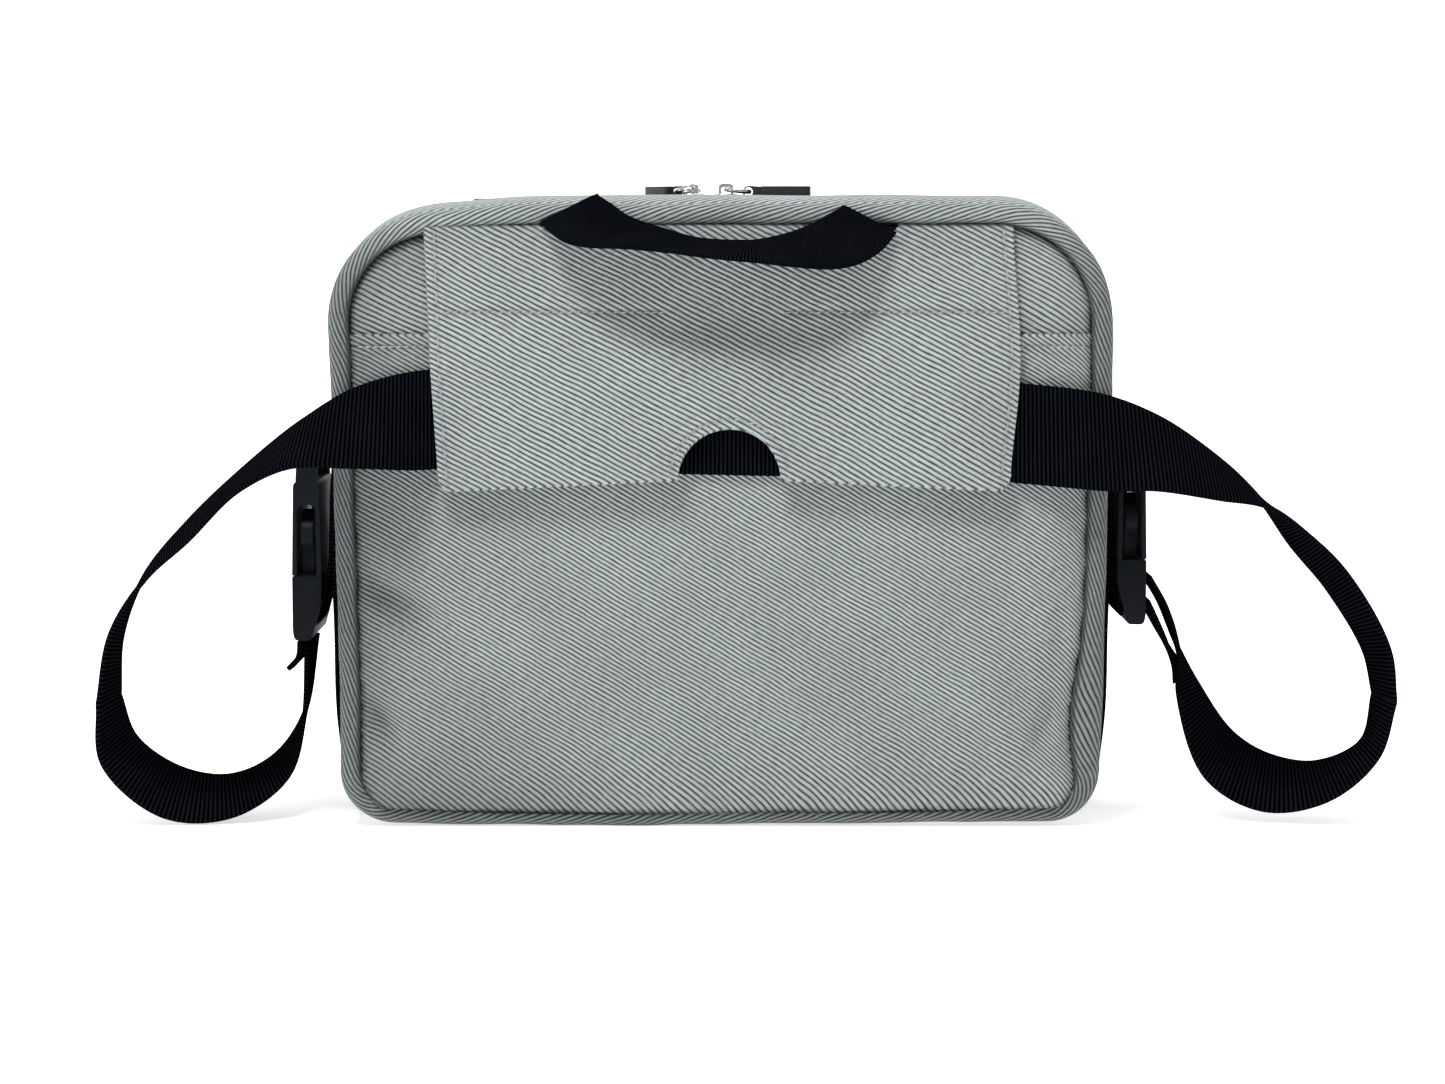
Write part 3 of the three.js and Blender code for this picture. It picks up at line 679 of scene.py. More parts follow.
def gusset_mesh(material):
    outer, inner, marks = gusset()
    count, columns = outer.shape[:2]
    size = count * columns
    half = columns // 2
    top = [i for i in range(count) if outer[i, 0, 2] > 200 and abs(outer[i, 0, 0]) < MOUTH["half"]]
    open_rows = set(top)
    faces = []
    for i in range(count):
        for j in range(columns - 1):
            if j == half - 1 and i in open_rows and (i + 1) % count in open_rows:
                continue
            a, b = i * columns + j, i * columns + j + 1
            c, d = (i + 1) % count * columns + j + 1, (i + 1) % count * columns + j
            faces.append((a, b, c, d))
            faces.append((a + size, d + size, c + size, b + size))
        for j in (0, columns - 1):
            a, d = i * columns + j, (i + 1) % count * columns + j
            faces.append((a, d, d + size, a + size))
        if i in open_rows and (i + 1) % count in open_rows:
            for j in (half - 1, half):
                a, d = i * columns + j, (i + 1) % count * columns + j
                faces.append((a, d, d + size, a + size))
    for i in (min(top), max(top)):
        a, b = i * columns + half - 1, i * columns + half
        faces.append((a, b, b + size, a + size))
    vertices = np.concatenate([outer.reshape(-1, 3), inner.reshape(-1, 3)])
    cloth = np.concatenate([marks.reshape(-1, 2)] * 2)
    return link_mesh("gusset_cloth", vertices, faces, material, cloth)


# ---- flap ----
def flap_front(x_rest, z):
    """A point on the flap's outer face, from its place on the flat cut."""
    t = min(1.0, max(0.0, (FLAP["top"] - z) / (FLAP["top"] - FLAP["bottom"])))
    left = FLAP["left"] - 0.6 + 5.0 * t ** 1.6
    right = FLAP["right"] - 1.2 + 3.6 * math.sin(math.pi * t) ** 1.5 - 0.6 * t
    s = (x_rest - FLAP["left"]) / (FLAP["right"] - FLAP["left"])
    x = left + (right - left) * s
    settle = 1 / (1 + math.exp((z - 187.5) / 3.6))
    y = -56.0 - 4.9 * settle
    belly = math.exp(-((z - 160) / 22) ** 2) * (1 - (2 * s - 1) ** 6)
    y -= 0.8 * belly
    y -= 2.4 / (1 + math.exp((z - 141) / 4))
    tuck = max(0.0, (z - 227) / 4.5)
    y += 5.0 * tuck ** 2.2
    side = min(s, 1 - s) * (FLAP["right"] - FLAP["left"])
    stitched = math.exp(-((z - FLAP["hinge"]) / 1.5) ** 2) * (1 if 6 < side < 88 else 0.0)
    y += 0.75 * stitched
    hem = min(side, notch_distance(x_rest, z))
    y -= 0.25 / (1 + math.exp((hem - 7.5) / 0.6))
    y += 0.3 * math.exp(-((hem - 3.2) / 0.6) ** 2)
    swell = 0.55 * lump(x_rest, 0, z, 21, 45) + 0.22 * lump(x_rest, 0, z, 22, 18)
    strain = 0.55 * math.exp(-((side - 20 - (z - 150) * 0.35) / 9) ** 2) * max(0.0, 1 - abs(z - 165) / 30)
    y -= swell * min(1.0, (231 - z) / 12) + strain
    return np.array([x, y, z])


def flap_painted_shade(x, z):
    """Painted shade on the flap: darker in the dips of its stitch rows and hem, in its tuck under the top
    seam, and towards its top.
    """
    side = min(x - FLAP["left"], FLAP["right"] - x)
    hem = min(side, notch_distance(x, z))
    rows = 0.4 * math.exp(-((hem - 3.2) / 0.7) ** 2) + 0.14 * math.exp(-((hem - 7.8) / 0.8) ** 2)
    sewn = 0.5 * math.exp(-((z - FLAP["hinge"]) / 0.8) ** 2) * (1 if 6 < side < 88 else 0.0)
    tuck = 0.9 * min(1.0, max(0.0, (z - 229.0) / 1.4)) ** 2 + 0.25 * math.exp(-(231 - z) / 9)
    return min(1.0, rows + sewn + tuck)


def notch_distance(x, z):
    away = math.hypot(x - NOTCH["x"], max(0.0, z - (NOTCH["top"] - NOTCH["radius"]))) - NOTCH["radius"]
    return max(0.0, away)


def flap_bottom(x):
    """The height of the flap's lower edge, with its round corners and the notch."""
    corner = 5.0
    edge = min(x - FLAP["left"], FLAP["right"] - x)
    low = FLAP["bottom"] - 0.6 + 4.2 * (1 - max(0.0, abs(x - NOTCH["x"]) - NOTCH["radius"]) / 90)
    if edge < corner:
        low += corner - math.sqrt(max(0.0, corner ** 2 - (corner - edge) ** 2))
    away = abs(x - NOTCH["x"])
    if away <= NOTCH["radius"]:
        low = NOTCH["top"] - NOTCH["radius"] + math.sqrt(NOTCH["radius"] ** 2 - away ** 2)
    return low


def flap_mesh(material):
    r, c = NOTCH["radius"], NOTCH["x"]
    corner = 5.0
    corner_turn = corner * (1 - np.cos(np.linspace(0, math.pi / 2, 7)))
    arc = c - r * np.cos(np.linspace(0, math.pi, 37))
    columns = np.concatenate([
        FLAP["left"] + corner_turn, np.linspace(FLAP["left"] + corner, c - r - 0.3, 44)[1:], arc,
        np.linspace(c + r + 0.3, FLAP["right"] - corner, 44), (FLAP["right"] - corner_turn)[::-1][1:]])
    t = np.linspace(0, 1, 90)
    points = np.zeros((len(t), len(columns), 3))
    cloth = np.zeros((len(t), len(columns), 3))
    for j, x in enumerate(columns):
        for i, share in enumerate(t):
            z = FLAP["top"] - share * (FLAP["top"] - flap_bottom(x))
            points[i, j] = flap_front(x, z)
            cloth[i, j] = (x, z, flap_painted_shade(x, z))
    back = points.copy()
    back[..., 1] += FLAP["thick"]
    return sheet_mesh("belt_flap_cloth", points, cloth, FLAP["thick"], material, back)


def flap_runs():
    """The flap's stitch rows: both sides' hems, round the notch, and the two rows that sew it down."""
    out = np.array([0, -1, 0])
    runs = []

    def row(places):
        points = np.array([flap_front(x, z) + out * 0.12 for x, z in places])
        runs.append((points, np.repeat(out[None], len(points), axis=0)))

    inset = 3.2
    for edge, sign in ((FLAP["left"], 1), (FLAP["right"], -1)):
        row([(edge + sign * inset, z) for z in np.linspace(134, 229, 60)])
    c, r, base = NOTCH["x"], NOTCH["radius"] + inset, NOTCH["top"] - NOTCH["radius"]
    turn = np.linspace(0, math.pi, 40)
    row([(c + r * math.cos(a), base + r * math.sin(a)) for a in turn])
    for left, right in ((-105, -23), (23, 105)):
        row([(x, FLAP["hinge"]) for x in np.linspace(left, right, 50)])
    return runs


# ---- strap ----
STRAP_EDGES = {
    "left": {
        "upper": ([(-106, -57.2, 176.2), (-135, -60, 170.5), (-157.5, -56, 157.5), (-181, -46, 139),
                   (-205, -37, 117), (-224, -30.5, 94.5), (-234, -25, 70), (-236, -21, 47)],
                  [(-106, -57.2, 138.2), (-135, -83, 140), (-158.5, -90, 141), (-180, -83, 131.5),
                   (-200.5, -74, 112), (-217.5, -68, 97), (-232, -62.5, 75.5), (-238, -59, 48)]),
        "lower": ([(-236, -21, 47), (-230, -19.5, 30), (-213.5, -18, 17.5), (-195, -14, 13.5),
                   (-178.5, -4, 19.5), (-167.5, 11, 35), (-162.7, 19, 66.2)],
                  [(-238, -59, 48), (-237, -56.5, 24), (-214.5, -53, 3.5), (-188.5, -49.5, 3),
                   (-168.5, -40.5, 16), (-163.5, -26, 36), (-162.7, -19, 66.2)]),
    },
    "right": {
        "upper": ([(106, -57.2, 171.3), (137, -59.5, 168), (162.5, -56, 160), (188, -45.5, 143.5),
                   (206.5, -37.5, 126.5), (221, -32, 106.5), (236, -27.5, 89), (251.5, -23, 64.5),
                   (256, -21, 47.5)],
                  [(106, -57.2, 133.3), (138, -66, 131), (163.5, -81, 131.5), (187.5, -80, 128),
                   (205, -75.5, 125), (221.5, -69.5, 114), (237.5, -64.5, 98.5), (254.5, -60.5, 69.5),
                   (257.5, -59, 49)]),
        "lower": ([(256, -21, 47.5), (252, -19, 28), (234.5, -17, 19.5), (216.5, -14.5, 22),
                   (203, -8, 30), (192, 8, 46), (183.5, 16, 62), (176, 18.5, 80), (168.2, 19, 92.5)],
                  [(257.5, -59, 49), (251.5, -57, 27), (233.5, -54, 10), (209, -47.5, 5),
                   (188, -40, 16.5), (178.5, -27.5, 47), (179.5, -21.5, 63), (175, -19.5, 80),
                   (168.2, -19, 92.5)]),
    },
}
TAILS = {
    "left": ([(-165.6, 19, 67), (-166, 19, 62), (-167.6, 19, 58.5), (-170.3, 19, 56.2)],
             [(-165.6, -19, 67), (-166, -19, 62), (-167.6, -19, 58.5), (-170.3, -19, 56.2)]),
    "right": ([(167.6, 19, 83), (171.4, 19, 76), (176.2, 18.5, 67.5), (182.2, 17, 58), (187, 14, 51)],
              [(167.6, -19, 83), (170.9, -19, 76), (174.6, -18.5, 67.5), (177.8, -19, 58), (178.4, -20, 51)]),
}
BACKINGS = {
    "left": [(151.1, 150), (151.5, 138), (152.4, 126), (152.9, 112), (153.4, 98), (154.6, 90),
             (157.0, 82), (158.6, 75)],
    "right": [(151.1, 150), (151.5, 139), (152.7, 128), (153.2, 114), (153.5, 98), (153.6, 91),
              (154.9, 84), (157.3, 77.5)],
}


def strap_ribbon(name, far, near, count, material, along_start=0.0):
    a, b = smooth_path(far, count), smooth_path(near, count)
    return ribbon(name, (a + b) / 2, a - b, STRAP["width"], STRAP["thick"], material, along_start=along_start)


# ---- hard pieces ----
def applied(piece):
    """Applies the piece's modifiers."""
    bpy.context.view_layer.update()
    graph = bpy.context.evaluated_depsgraph_get()
    mesh = bpy.data.meshes.new_from_object(piece.evaluated_get(graph))
    piece.modifiers.clear()
    piece.data = mesh
    return piece


def smooth_faces(piece):
    """Smooth shading, with edges over 40 degrees kept sharp."""
    piece.data.polygons.foreach_set("use_smooth", [True] * len(piece.data.polygons))
    piece.data.set_sharp_from_angle(angle=math.radians(40))


def soften(piece, width, segments=3, angle=35):
    bevel = piece.modifiers.new("edges", "BEVEL")
    bevel.width = width * MM
    bevel.segments = segments
    bevel.limit_method = "ANGLE"
    bevel.angle_limit = math.radians(angle)
    bevel.harden_normals = False
    applied(piece)
    smooth_faces(piece)
    return piece


def combine(piece, other, operation):
    change = piece.modifiers.new("change", "BOOLEAN")
    change.operation = operation
    change.solver = "EXACT"
    change.object = other
    applied(piece)
    bpy.data.objects.remove(other)
    return piece


def prism(name, profile, low, high, material, axis="y"):
    """A solid drawn as a profile and pushed along an axis: (x, z) along y, (y, z) along x, (x, y) along z."""
    count = len(profile)
    places = {
        "x": lambda a, b, h: (h, a, b),
        "y": lambda a, b, h: (a, h, b),
        "z": lambda a, b, h: (a, b, h),
    }
    place = places[axis]
    vertices = [place(a, b, h) for h in (low, high) for a, b in profile]
    faces = [tuple(range(count)), tuple(range(2 * count - 1, count - 1, -1))]
    faces += [(k, (k + 1) % count, (k + 1) % count + count, k + count) for k in range(count)]
    return link_mesh(name, vertices, faces, material, smooth=False)


def block(name, x, y, z, material):
    return prism(name, [(x[0], z[0]), (x[1], z[0]), (x[1], z[1]), (x[0], z[1])], y[0], y[1], material)


def rounded(points, radius, steps=5):
    """A polygon's corners turned into short arcs, each with its own radius."""
    out = []
    count = len(points)
    for k in range(count):
        here = Vector(points[k])
        before, after = Vector(points[k - 1]), Vector(points[(k + 1) % count])
        r = radius[k] if isinstance(radius, (list, tuple)) else radius
        if r <= 0:
            out.append(tuple(here))
            continue
        start = here + (before - here).normalized() * r
        end = here + (after - here).normalized() * r
        for t in np.linspace(0, 1, steps):
            out.append(tuple(start * (1 - t) ** 2 + here * 2 * t * (1 - t) + end * t * t))
    return out


BUCKLES = {"left": {"sign": -1, "x": -161.7, "lip": 93.6}, "right": {"sign": 1, "x": 160.3, "lip": 100}}
BUCKLE = {"half": 5.7, "wide": 25.0, "base": 25.3, "window": 28.0, "head": 9.0, "slot": 6.4, "bar": 2.5}


def waisted(piece, lip, squeeze, narrow):
    """Draws a buckle shell in towards its head, in thickness and in width."""
    centre = sum(v.co.x for v in piece.data.vertices) / len(piece.data.vertices)
    for vertex in piece.data.vertices:
        t = min(1.0, max(0.0, (vertex.co.z / MM - lip - 16) / 32))
        vertex.co.x = centre + (vertex.co.x - centre) * (1 - squeeze * t ** 1.5)
        vertex.co.y *= 1 - narrow * t ** 1.5
    return piece


def socket(side, material):
    b = BUCKLES[side]
    x, lip, half = b["x"], b["lip"], BUCKLE["half"]
    leg = 1.9
    head = lip + BUCKLE["window"] + BUCKLE["head"]
    shell = rounded([
        (x - half, lip + 0.3), (x - half + leg, lip + 0.3), (x - half + leg, lip + BUCKLE["window"]),
        (x + half - leg, lip + BUCKLE["window"]), (x + half - leg, lip + 0.3), (x + half, lip + 0.3),
        (x + half, head), (x - half, head)], [0.5, 0.3, 3.0, 3.0, 0.3, 0.5, 2.2, 2.2])
    piece = prism(f"buckle_socket_{side}", shell, -BUCKLE["wide"], BUCKLE["wide"], material)
    top = head + BUCKLE["slot"] + 2 * BUCKLE["bar"]
    for face in (-1, 1):
        y0, y1 = sorted((face * 20.5, face * BUCKLE["wide"]))
        post = block("post", (x - half + 1, x + half - 1), (y0, y1), (head - 3, top), material)
        combine(piece, post, "UNION")
    bar_z = top - BUCKLE["bar"]
    turn = np.linspace(0, 2 * math.pi, 20, endpoint=False)
    bar = prism("bar", [(x + BUCKLE["bar"] * math.cos(a), bar_z + BUCKLE["bar"] * math.sin(a)) for a in turn],
                -21.5, 21.5, material)
    combine(piece, bar, "UNION")
    soften(piece, 0.7)
    return waisted(piece, lip, 0.22, 0.1)


def plug(side, material):
    b = BUCKLES[side]
    sign, x, lip, half = b["sign"], b["x"], b["lip"], BUCKLE["half"]
    heel = lip - BUCKLE["base"]
    shell = rounded([
        (x + sign * half, heel + 3), (x + sign * half, lip), (x - sign * half, lip),
        (x - sign * half, lip - 9), (x - sign * (half - 4.3), heel), (x + sign * (half - 0.9), heel)],
        [2.0, 0.6, 0.6, 5.0, 1.5, 1.5])
    piece = prism(f"buckle_plug_{side}", shell, -BUCKLE["wide"], BUCKLE["wide"], material)
    for low in (heel + 5, heel + 12):
        slot = block("slot", (x - 3 * half, x + 3 * half), (-20, 20), (low, low + 3), material)
        combine(piece, slot, "DIFFERENCE")
    prong = block("prong", (x - 2.0, x + 2.0), (-4, 4), (lip - 2, lip + 21), material)
    combine(piece, prong, "UNION")
    return soften(piece, 0.6)


def arm(side, place, material):
    face = {"rear": -1, "front": 1}[place]
    b = BUCKLES[side]
    x, lip = b["x"], b["lip"]
    profile = rounded([
        (face * 13, lip + 0.3), (face * 18, lip + 0.3), (face * 18.6, lip + 8), (face * 23.5, lip + 13.5),
        (face * 22.8, lip + 20), (face * 15, lip + 25.5), (face * 13, lip + 25.5)],
        [0.3, 0.3, 2.5, 2.0, 3.0, 2.0, 1.0])
    piece = prism(f"spring_arm_{side}_{place}", profile, x - 2.3, x + 2.3, material, axis="x")
    return soften(piece, 0.5)


def tab_loop(side, material):
    """Webbing round the socket's bar, its two layers meeting on the side band."""
    b = BUCKLES[side]
    sign, x = b["sign"], abs(b["x"])
    bar_z = b["lip"] + BUCKLE["window"] + BUCKLE["head"] + BUCKLE["slot"] + BUCKLE["bar"]
    r = 3.9
    turn = np.linspace(math.radians(165), math.radians(375), 22)
    loop = [(152.9, 153.5), (153.1, 150), (154.2, 145)]
    loop += [(x + r * math.cos(a), bar_z + r * math.sin(a)) for a in turn]
    loop += [(158.2, 147), (155.6, 151), (155.1, 153.5)]
    line = even(np.array(loop, float), 60)
    middle = np.stack([sign * line[:, 0], np.zeros(60), line[:, 1]], axis=1)
    across = np.repeat([[0.0, 1.0, 0.0]], 60, axis=0)
    return ribbon(f"buckle_tab_loop_{side}", middle, across, STRAP["width"], 1.9, material)


def side_band(side, material):
    """Webbing down the gusset's side, curling under the bottom corner."""
    sign = BUCKLES[side]["sign"]
    path = outline(-1.1, 0.0, TOP, 480)
    path = path[(path[:, 0] * sign > 134) & (path[:, 1] < 155)]
    path = path[np.argsort(path[:, 1])]
    path = even(path, 90)
    stand = [side_bulge(z) for z in path[:, 1]]
    beside = path[:, 0] + sign * np.array(stand)
    middle = np.stack([beside, np.zeros(90), np.maximum(path[:, 1], 2.9)], axis=1)
    middle[:, 0] += sign * 0.5 * np.array([lump(0, 0, z, 31, 30) + 0.5 for z in path[:, 1]])
    across = np.repeat([[0.0, 1.0, 0.0]], 90, axis=0)
    return ribbon(f"side_band_webbing_{side}", middle, across, STRAP["width"], 1.6, material)


# ---- handle ----
HANDLE_UPPER = [(-46.6, -57.5, 241.8), (-41, -58, 238.2), (-34.4, -58.3, 233.5), (-21.4, -58.5, 228.8),
                (-8.2, -58.7, 225.1), (5.9, -58.8, 224.2), (13.2, -58.8, 224.5), (24.5, -58.8, 227),
                (33.9, -58.6, 230.7), (40.5, -58.5, 234.4), (46.1, -58, 237.5)]
HANDLE_LOWER = [(-68.1, -57, 231.3), (-64.8, -60, 227.9), (-59.5, -66, 224.2), (-51.8, -71, 222.4),
                (-35.7, -78, 221.9), (-21, -81, 220.7), (-4.4, -82, 218.5), (14.8, -81.5, 216.6),
                (28.8, -78, 214.9), (42.9, -72, 214.1), (52.4, -67, 215.9), (60.9, -61, 221),
                (66.3, -57.5, 227.3)]


def handle(material):
    """Webbing sewn into the top seam at both ends, folded over and left to sag between."""
    count = 110
    upper, lower = smooth_path(HANDLE_UPPER, count), smooth_path(HANDLE_LOWER, count)
    across = upper - lower
    middle = (upper + lower) / 2
    width = np.linalg.norm(across, axis=1)
    across = across / width[:, None]
    tangent = np.gradient(middle, axis=0)
    out = np.cross(tangent, across)
    out /= np.linalg.norm(out, axis=1, keepdims=True)
    section = band_section(1.0, 0.08)
    section = np.stack([section[:, 0], section[:, 1] / 0.04], axis=1)
    sections = (middle[:, None] + across[:, None] * section[None, :, :1] * width[:, None, None]
                + out[:, None] * section[None, :, 1:] * 0.9)
    length = np.concatenate([[0], np.cumsum(np.linalg.norm(np.diff(middle, axis=0), axis=1))])
    marks = np.zeros((count, len(section), 2))
    marks[..., 0] = length[:, None]
    marks[..., 1] = section[None, :, 0] * 25
    return hoop_mesh("handle_webbing", sections, marks, material, close_along=False)


# ---- zip ----
def zip_tape(side, material):
    sign = {"rear": -1, "front": 1}[side]
    rows, columns = 80, 7
    points = np.zeros((rows, columns, 3))
    marks = np.zeros((rows, columns, 2))
    for i, x in enumerate(np.linspace(-MOUTH["half"], MOUTH["half"], rows)):
        for j, y in enumerate(np.linspace(1.7, MOUTH["tape"], columns)):
            z = 239.7 - 0.25 * ((y - 1.7) / 7) ** 2 + 0.08 * lump(x, y, 0, 41, 20)
            points[i, j] = (x, sign * y, z)
            marks[i, j] = (x, y)
    back = points.copy()
    back[..., 2] -= 0.9
    return sheet_mesh(f"zip_tape_cloth_{side}", points, marks, 0.9, material, back)


def coil_teeth(side, material):
    """One side of the coil: a run of small nylon loops."""
    sign = {"rear": -1, "front": 1}[side]
    pitch, wire, sides = 1.5, 0.42, 6
    vertices, faces = [], []
    turn = np.linspace(0, 2 * math.pi, 10, endpoint=False)
    first = -MOUTH["half"] + (0.0 if sign < 0 else pitch / 2)
    for x in np.arange(first, MOUTH["half"], pitch):
        start = len(vertices)
        for a in turn:
            y, z = sign * (1.0 + 0.95 * math.cos(a)), 239.75 + 0.5 * math.sin(a)
            centre = np.array([x + 0.28 * math.sin(a), y, z])
            out = np.array([0.0, sign * math.cos(a), math.sin(a)])
            for k in range(sides):
                b = 2 * math.pi * k / sides
                vertices.append(centre + wire * (out * math.cos(b) + np.array([1.0, 0, 0]) * math.sin(b)))
        faces += grid_faces(len(turn), sides, start, close_rows=True, close_columns=True)
    return link_mesh(f"zip_coil_teeth_{side}", vertices, faces, material)


def lathe_ring(name, radius, wire, material, count=64, sides=14):
    sections = np.zeros((count, sides, 3))
    for i in range(count):
        a = 2 * math.pi * i / count
        for k in range(sides):
            b = 2 * math.pi * k / sides
            reach = radius + wire * math.cos(b)
            sections[i, k] = (radius + reach * math.cos(a), reach * math.sin(a), wire * math.sin(b))
    return hoop_mesh(name, sections, np.zeros((count, sides, 2)), material)


def set_at(piece, matrix):
    piece.data.transform(matrix)
    return piece


SLIDERS = {"left": (-11.0, math.pi - math.pi / 3), "right": (2.0, 0.0)}
RING = {"radius": 4.6, "wire": 0.95, "bow": 0.35, "height": 243.9, "droop": math.radians(5)}


def shift(x, y, z):
    return Matrix.Translation(Vector((x, y, z)) * MM)


def slider(side, material):
    x, heading = SLIDERS[side]
    body = rounded([(-4.5, -3.1), (-2.2, -4.5), (2.2, -4.5), (4.5, -3.1), (4.5, 3.1), (2.2, 4.5), (-2.2, 4.5),
                    (-4.5, 3.1)], 0.9, 4)
    piece = prism(f"slider_shell_{side}", body, 240.85, 242.3, material, axis="z")
    soften(piece, 0.35, 3)
    arch = rounded([(-3, 242), (-3, 246.3), (3, 246.3), (3, 242), (1.8, 242), (1.8, 244.9), (-1.8, 244.9),
                    (-1.8, 242)], [0, 1.8, 1.8, 0, 0, 1.0, 1.0, 0], 6)
    bail = prism("bail", arch, -0.9, 0.9, material)
    soften(bail, 0.3, 2)
    set_at(bail, Matrix.Rotation(heading, 4, "Z"))
    combine(piece, bail, "UNION")
    for y in (-4.2, 4.2):
        wing = block("wing", (-4.2, 4.2), (y - 0.35, y + 0.35), (240.15, 241.2), material)
        combine(piece, wing, "UNION")
    smooth_faces(piece)
    return set_at(piece, shift(x, 0, 0))


def link_matrix(side):
    x, heading = SLIDERS[side]
    turn = Matrix.Rotation(heading, 4, "Z") @ Matrix.Rotation(RING["droop"], 4, "Y")
    return shift(x, 0, RING["height"]) @ turn


def pull_ring(side, material):
    ring = lathe_ring(f"pull_ring_wire_{side}", RING["radius"], RING["wire"], material)
    return set_at(ring, link_matrix(side))


def pull_tab(side, material):
    """A moulded pull: an eye and neck, then a blade with a rim and a sunk middle."""
    eye = 1.7
    turn = np.linspace(math.pi / 2, 1.5 * math.pi, 12)
    neck = [(2.3 * math.cos(a), 2.3 * math.sin(a)) for a in turn] + [(7, -1.9), (7, 1.9)]
    piece = prism(f"pull_tab_moulded_{side}", neck, -2.4, 2.4, material)
    hole = [(eye * math.cos(a), eye * math.sin(a)) for a in np.linspace(0, 2 * math.pi, 20, endpoint=False)]
    combine(piece, prism("hole", hole, -6, 6, material), "DIFFERENCE")
    blade = rounded([(5, -4.5), (24.5, -4.5), (24.5, 4.5), (5, 4.5)], [1.6, 3.4, 3.4, 1.6], 8)
    plate = prism("blade", blade, -2.2, 2.2, material, axis="z")
    sunk = rounded([(8.2, -2.6), (22, -2.6), (22, 2.6), (8.2, 2.6)], 1.8, 6)
    for low in (1.7, -3.25):
        combine(plate, prism("sunk", sunk, low, low + 1.55, material, axis="z"), "DIFFERENCE")
    soften(plate, 0.45, 3)
    combine(piece, plate, "UNION")
    smooth_faces(piece)
    level = Matrix.Rotation(-RING["droop"], 4, "Y")
    return set_at(piece, link_matrix(side) @ shift(2 * RING["radius"] - RING["bow"], 0, 0) @ level)


# ---- putting it together ----
def attach(piece, body, slot, *nodes):
    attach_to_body(piece, body)
    if nodes:
        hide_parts(*nodes)
    return piece


def add_body(m):
    rear = tucked_panel("rear_panel_cloth", -1, PANEL_Y, 0, TOP, 51, m["twill"], rear_recess, weave=0.93)
    attach(rear, "bag", "twill", "back_panel")
    pocket = tucked_panel("rear_pocket_cloth", -1, POCKET_Y, 0, POCKET_TOP, 61, m["twill"], rear_fullness,
                          hem=True, weave=1.165)
    attach(pocket, "bag", "twill", "back_pocket")
    front = tucked_panel("front_panel_cloth", 1, -PANEL_Y, 0, TOP, 71, m["twill"], front_fullness)
    attach(front, "bag", "twill", "front_panel")
    edges = (("rear_rolled_edge", -1, "piping_rear"), ("front_rolled_edge", 1, "piping_front"))
    for name, side, node in edges:
        attach(rolled_edge(name, side, m["piping"]), "bag", "piping", node)
    attach(gusset_mesh(m["twill"]), "bag", "twill", "side_gusset", "top_panel_rear", "top_panel_front",
           "zip_end_left", "zip_end_right")
    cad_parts["base_board"].data.materials.clear()
    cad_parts["base_board"].data.materials.append(m["board"])
    runs = []
    for low, high in ((-138, -112), (112, 138)):
        x = np.linspace(low, high, 20)
        line = np.array([slump((a, POCKET_Y - 0.6, POCKET_TOP - 4.2)) for a in x])
        runs.append((line, np.repeat([[0.0, -1.0, 0.0]], 20, axis=0)))
    attach(stitches("pocket_hem_stitches", runs, m["thread"]), "bag", "twill")


def add_flap(m):
    flap = flap_mesh(m["twill"])
    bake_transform(flap)
    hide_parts("belt_flap", "belt_flap_yoke")
    thread = stitches("flap_stitches", flap_runs(), m["thread"], slant=0.25)
    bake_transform(thread)


def add_strap(m):
    half = 105.9
    count = 60
    x = np.linspace(-half, half, count)
    z = np.linspace(157.2, 152.3, count)
    middle = np.stack([x, np.full(count, STRAP["y"]), z], axis=1)
    across = np.repeat([[0.0, 0.0, 1.0]], count, axis=0)
    centre = ribbon("strap_webbing_middle", middle, across, STRAP["width"], STRAP["thick"], m["webbing"])
    attach(centre, "bag", "webbing", "strap_middle")
    for side, b in BUCKLES.items():
        socket_body, plug_body = f"buckle_socket_{side}", f"buckle_plug_{side}"
        upper = strap_ribbon(f"strap_webbing_{side}_upper", *STRAP_EDGES[side]["upper"], 120, m["webbing"])
        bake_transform(upper)
        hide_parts(f"strap_{side}_upper")
        lower = strap_ribbon(f"strap_webbing_{side}_lower", *STRAP_EDGES[side]["lower"], 120, m["webbing"])
        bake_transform(lower)
        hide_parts(f"strap_{side}_lower")
        tail = strap_ribbon(f"strap_tail_webbing_{side}", *TAILS[side], 36, m["webbing"])
        attach(tail, plug_body, "webbing", f"strap_tail_{side}")
        run = smooth_path([(b["sign"] * p, 0, z) for p, z in BACKINGS[side]], 40)
        backing = ribbon(f"buckle_backing_{side}", run, np.repeat([[0.0, 1.0, 0.0]], 40, axis=0),
                         STRAP["width"], 1.3, m["webbing"])
        attach(backing, "bag", "webbing")


def add_buckles(m):
    for side in BUCKLES:
        attach(socket(side, m["buckle"]), f"buckle_socket_{side}", "buckle", f"socket_{side}")
        attach(plug(side, m["buckle"]), f"buckle_plug_{side}", "buckle", f"plug_{side}")
        for place in ("rear", "front"):
            attach(arm(side, place, m["buckle"]), f"arm_{side}_{place}", "buckle", f"arm_{side}_{place}")
        loop = attach(tab_loop(side, m["webbing"]), "bag", "webbing", f"buckle_tab_{side}")
        band = attach(side_band(side, m["webbing"]), "bag", "webbing", f"side_band_{side}")


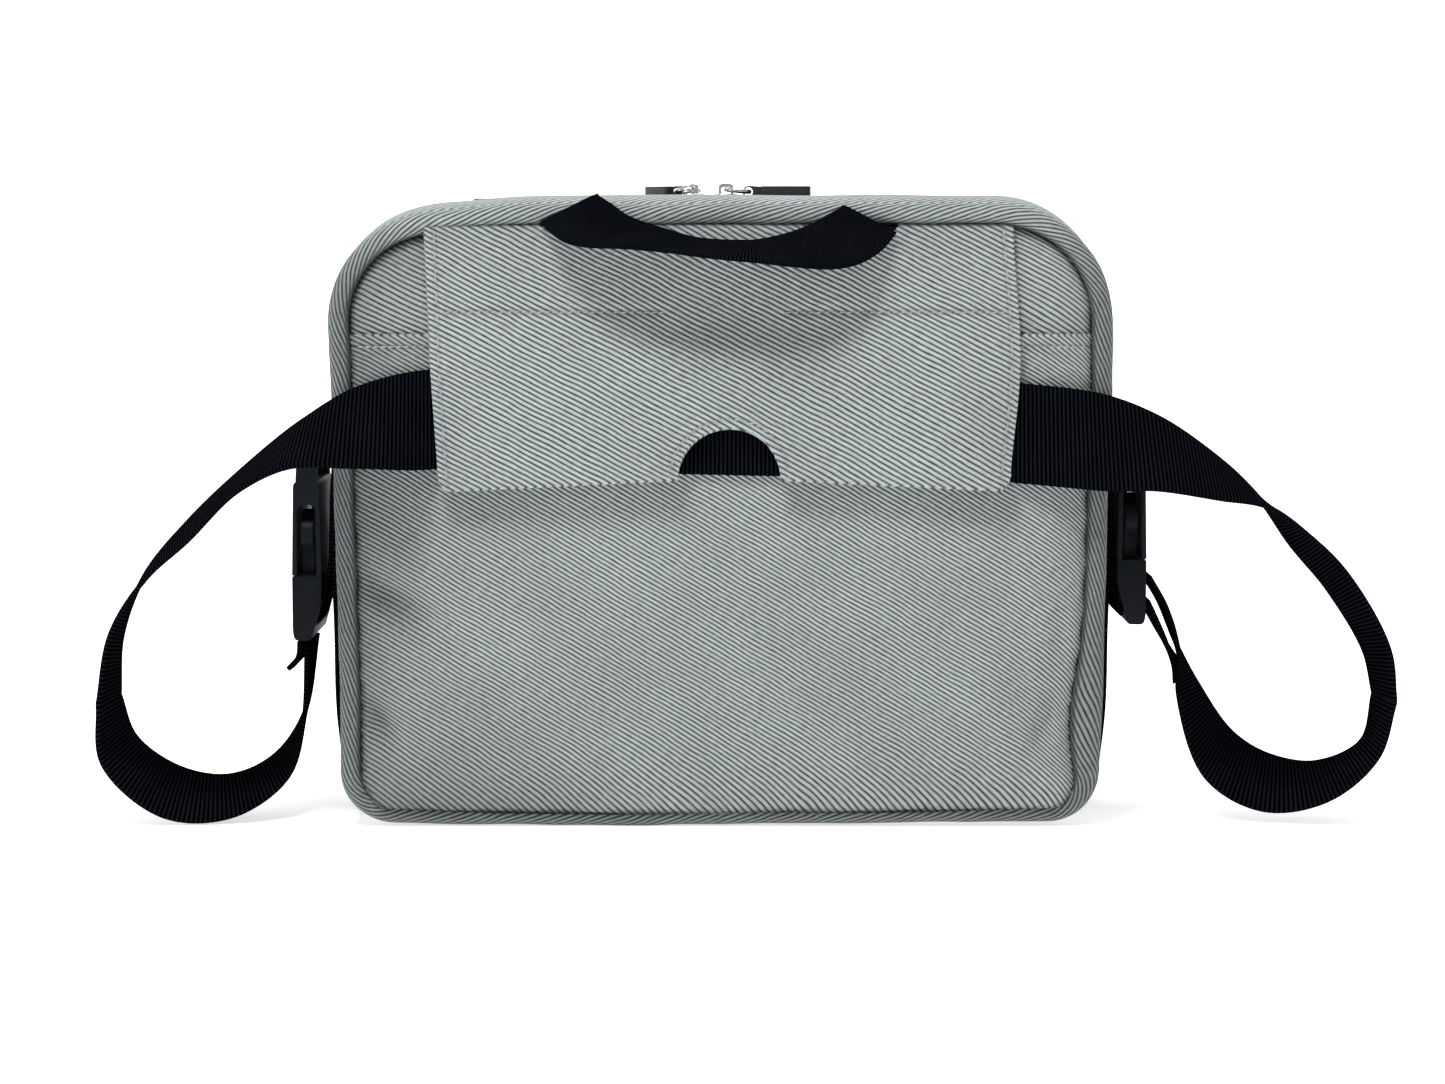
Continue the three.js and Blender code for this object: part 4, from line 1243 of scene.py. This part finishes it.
def handle_fold(side, material):
    """The layer behind each end's fold, going down into the seam."""
    end = 0 if side == "left" else -1
    outer, peak = HANDLE_LOWER[end], HANDLE_UPPER[end]
    t = np.linspace(0, 1, 12)
    fold = np.array([np.array(outer) * (1 - a) + np.array(peak) * a for a in t]) + [0, 1.6, 0]
    root = fold.copy()
    root[:, 1] = -54.6
    root[:, 2] = 230.5
    rows = [fold * (1 - a) + root * a for a in np.linspace(0, 1, 8)]
    points = np.array(rows)
    marks = np.stack([points[..., 2], points[..., 0]], axis=-1)
    back = points + [0, 1.3, 0]
    return sheet_mesh(f"handle_end_{side}", points, marks, 1.3, material, back)


def add_handle(m):
    piece = handle(m["handle"])
    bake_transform(piece)
    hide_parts("carry_handle")
    ends = [attach(handle_fold(side, m["webbing"]), "bag", "webbing") for side in ("left", "right")]


def add_zip(m):
    for side in ("rear", "front"):
        attach(zip_tape(side, m["tape"]), "bag", "zip_tape", f"zip_tape_{side}")
        attach(coil_teeth(side, m["coil"]), "bag", "zip_coil", f"zip_coil_{side}")
    for side in SLIDERS:
        attach(slider(side, m["metal"]), f"slider_{side}", "metal", f"zip_slider_{side}")
        attach(pull_ring(side, m["metal"]), f"ring_{side}", "metal", f"pull_ring_{side}")
        attach(pull_tab(side, m["pull"]), f"tab_{side}", "pull", f"pull_tab_{side}")


# ---- stage ----
def add_stage():
    n = Nodes("white_floor")
    shade = n.noise(n.place(), 3, 2)
    floor_color = n.ramp(shade, [(0.0, (0.93, 0.93, 0.93)), (1.0, (0.95, 0.95, 0.95))])
    n.finish(floor_color, 0.9, specular=0.1)
    n.shader.inputs["Emission Color"].default_value = (1, 1, 1, 1)
    n.shader.inputs["Emission Strength"].default_value = 0.6
    bpy.ops.mesh.primitive_plane_add(size=12, location=(0, 0, 0))
    floor = bpy.context.object
    floor.name = "floor"
    floor.data.materials.append(n.material)
    n = Nodes("white_wall")
    n.finish(n.ramp(n.noise(n.place(), 2, 1), [(0.0, (0.9, 0.9, 0.9)), (1.0, (0.95, 0.95, 0.95))]), 0.9)
    n.shader.inputs["Emission Color"].default_value = (1, 1, 1, 1)
    n.shader.inputs["Emission Strength"].default_value = 1.0
    bpy.ops.mesh.primitive_plane_add(size=8, location=(0, 2.6, 0), rotation=(math.pi / 2, 0, 0))
    wall = bpy.context.object
    wall.name = "wall"
    wall.data.materials.append(n.material)
    world = bpy.data.worlds.new("studio")
    bpy.context.scene.world = world
    world.use_nodes = True
    world.node_tree.nodes["Background"].inputs[0].default_value = (1, 1, 1, 1)
    world.node_tree.nodes["Background"].inputs[1].default_value = 0.36
    bpy.context.scene.view_settings.view_transform = "Standard"


def add_light(name, place, aim, size, power):
    data = bpy.data.lights.new(name, "AREA")
    data.shape = "DISK"
    data.size = size
    data.energy = power
    light = bpy.data.objects.new(name, data)
    light.location = place
    light.rotation_euler = (Vector(aim) - Vector(place)).to_track_quat("-Z", "Y").to_euler()
    bpy.context.scene.collection.objects.link(light)


add_camera()
materials = make_materials()
add_body(materials)
add_flap(materials)
add_strap(materials)
add_buckles(materials)
add_handle(materials)
add_zip(materials)
add_stage()
add_light("key", (-0.32, -0.66, 1.45), (0, -0.05, 0.1), 0.4, 18.5)
add_light("side", (-1.3, -0.5, 0.35), (0, -0.05, 0.1), 0.5, 2)
add_light("top", (0.2, 0.3, 1.5), (0, 0, 0.2), 0.6, 6)
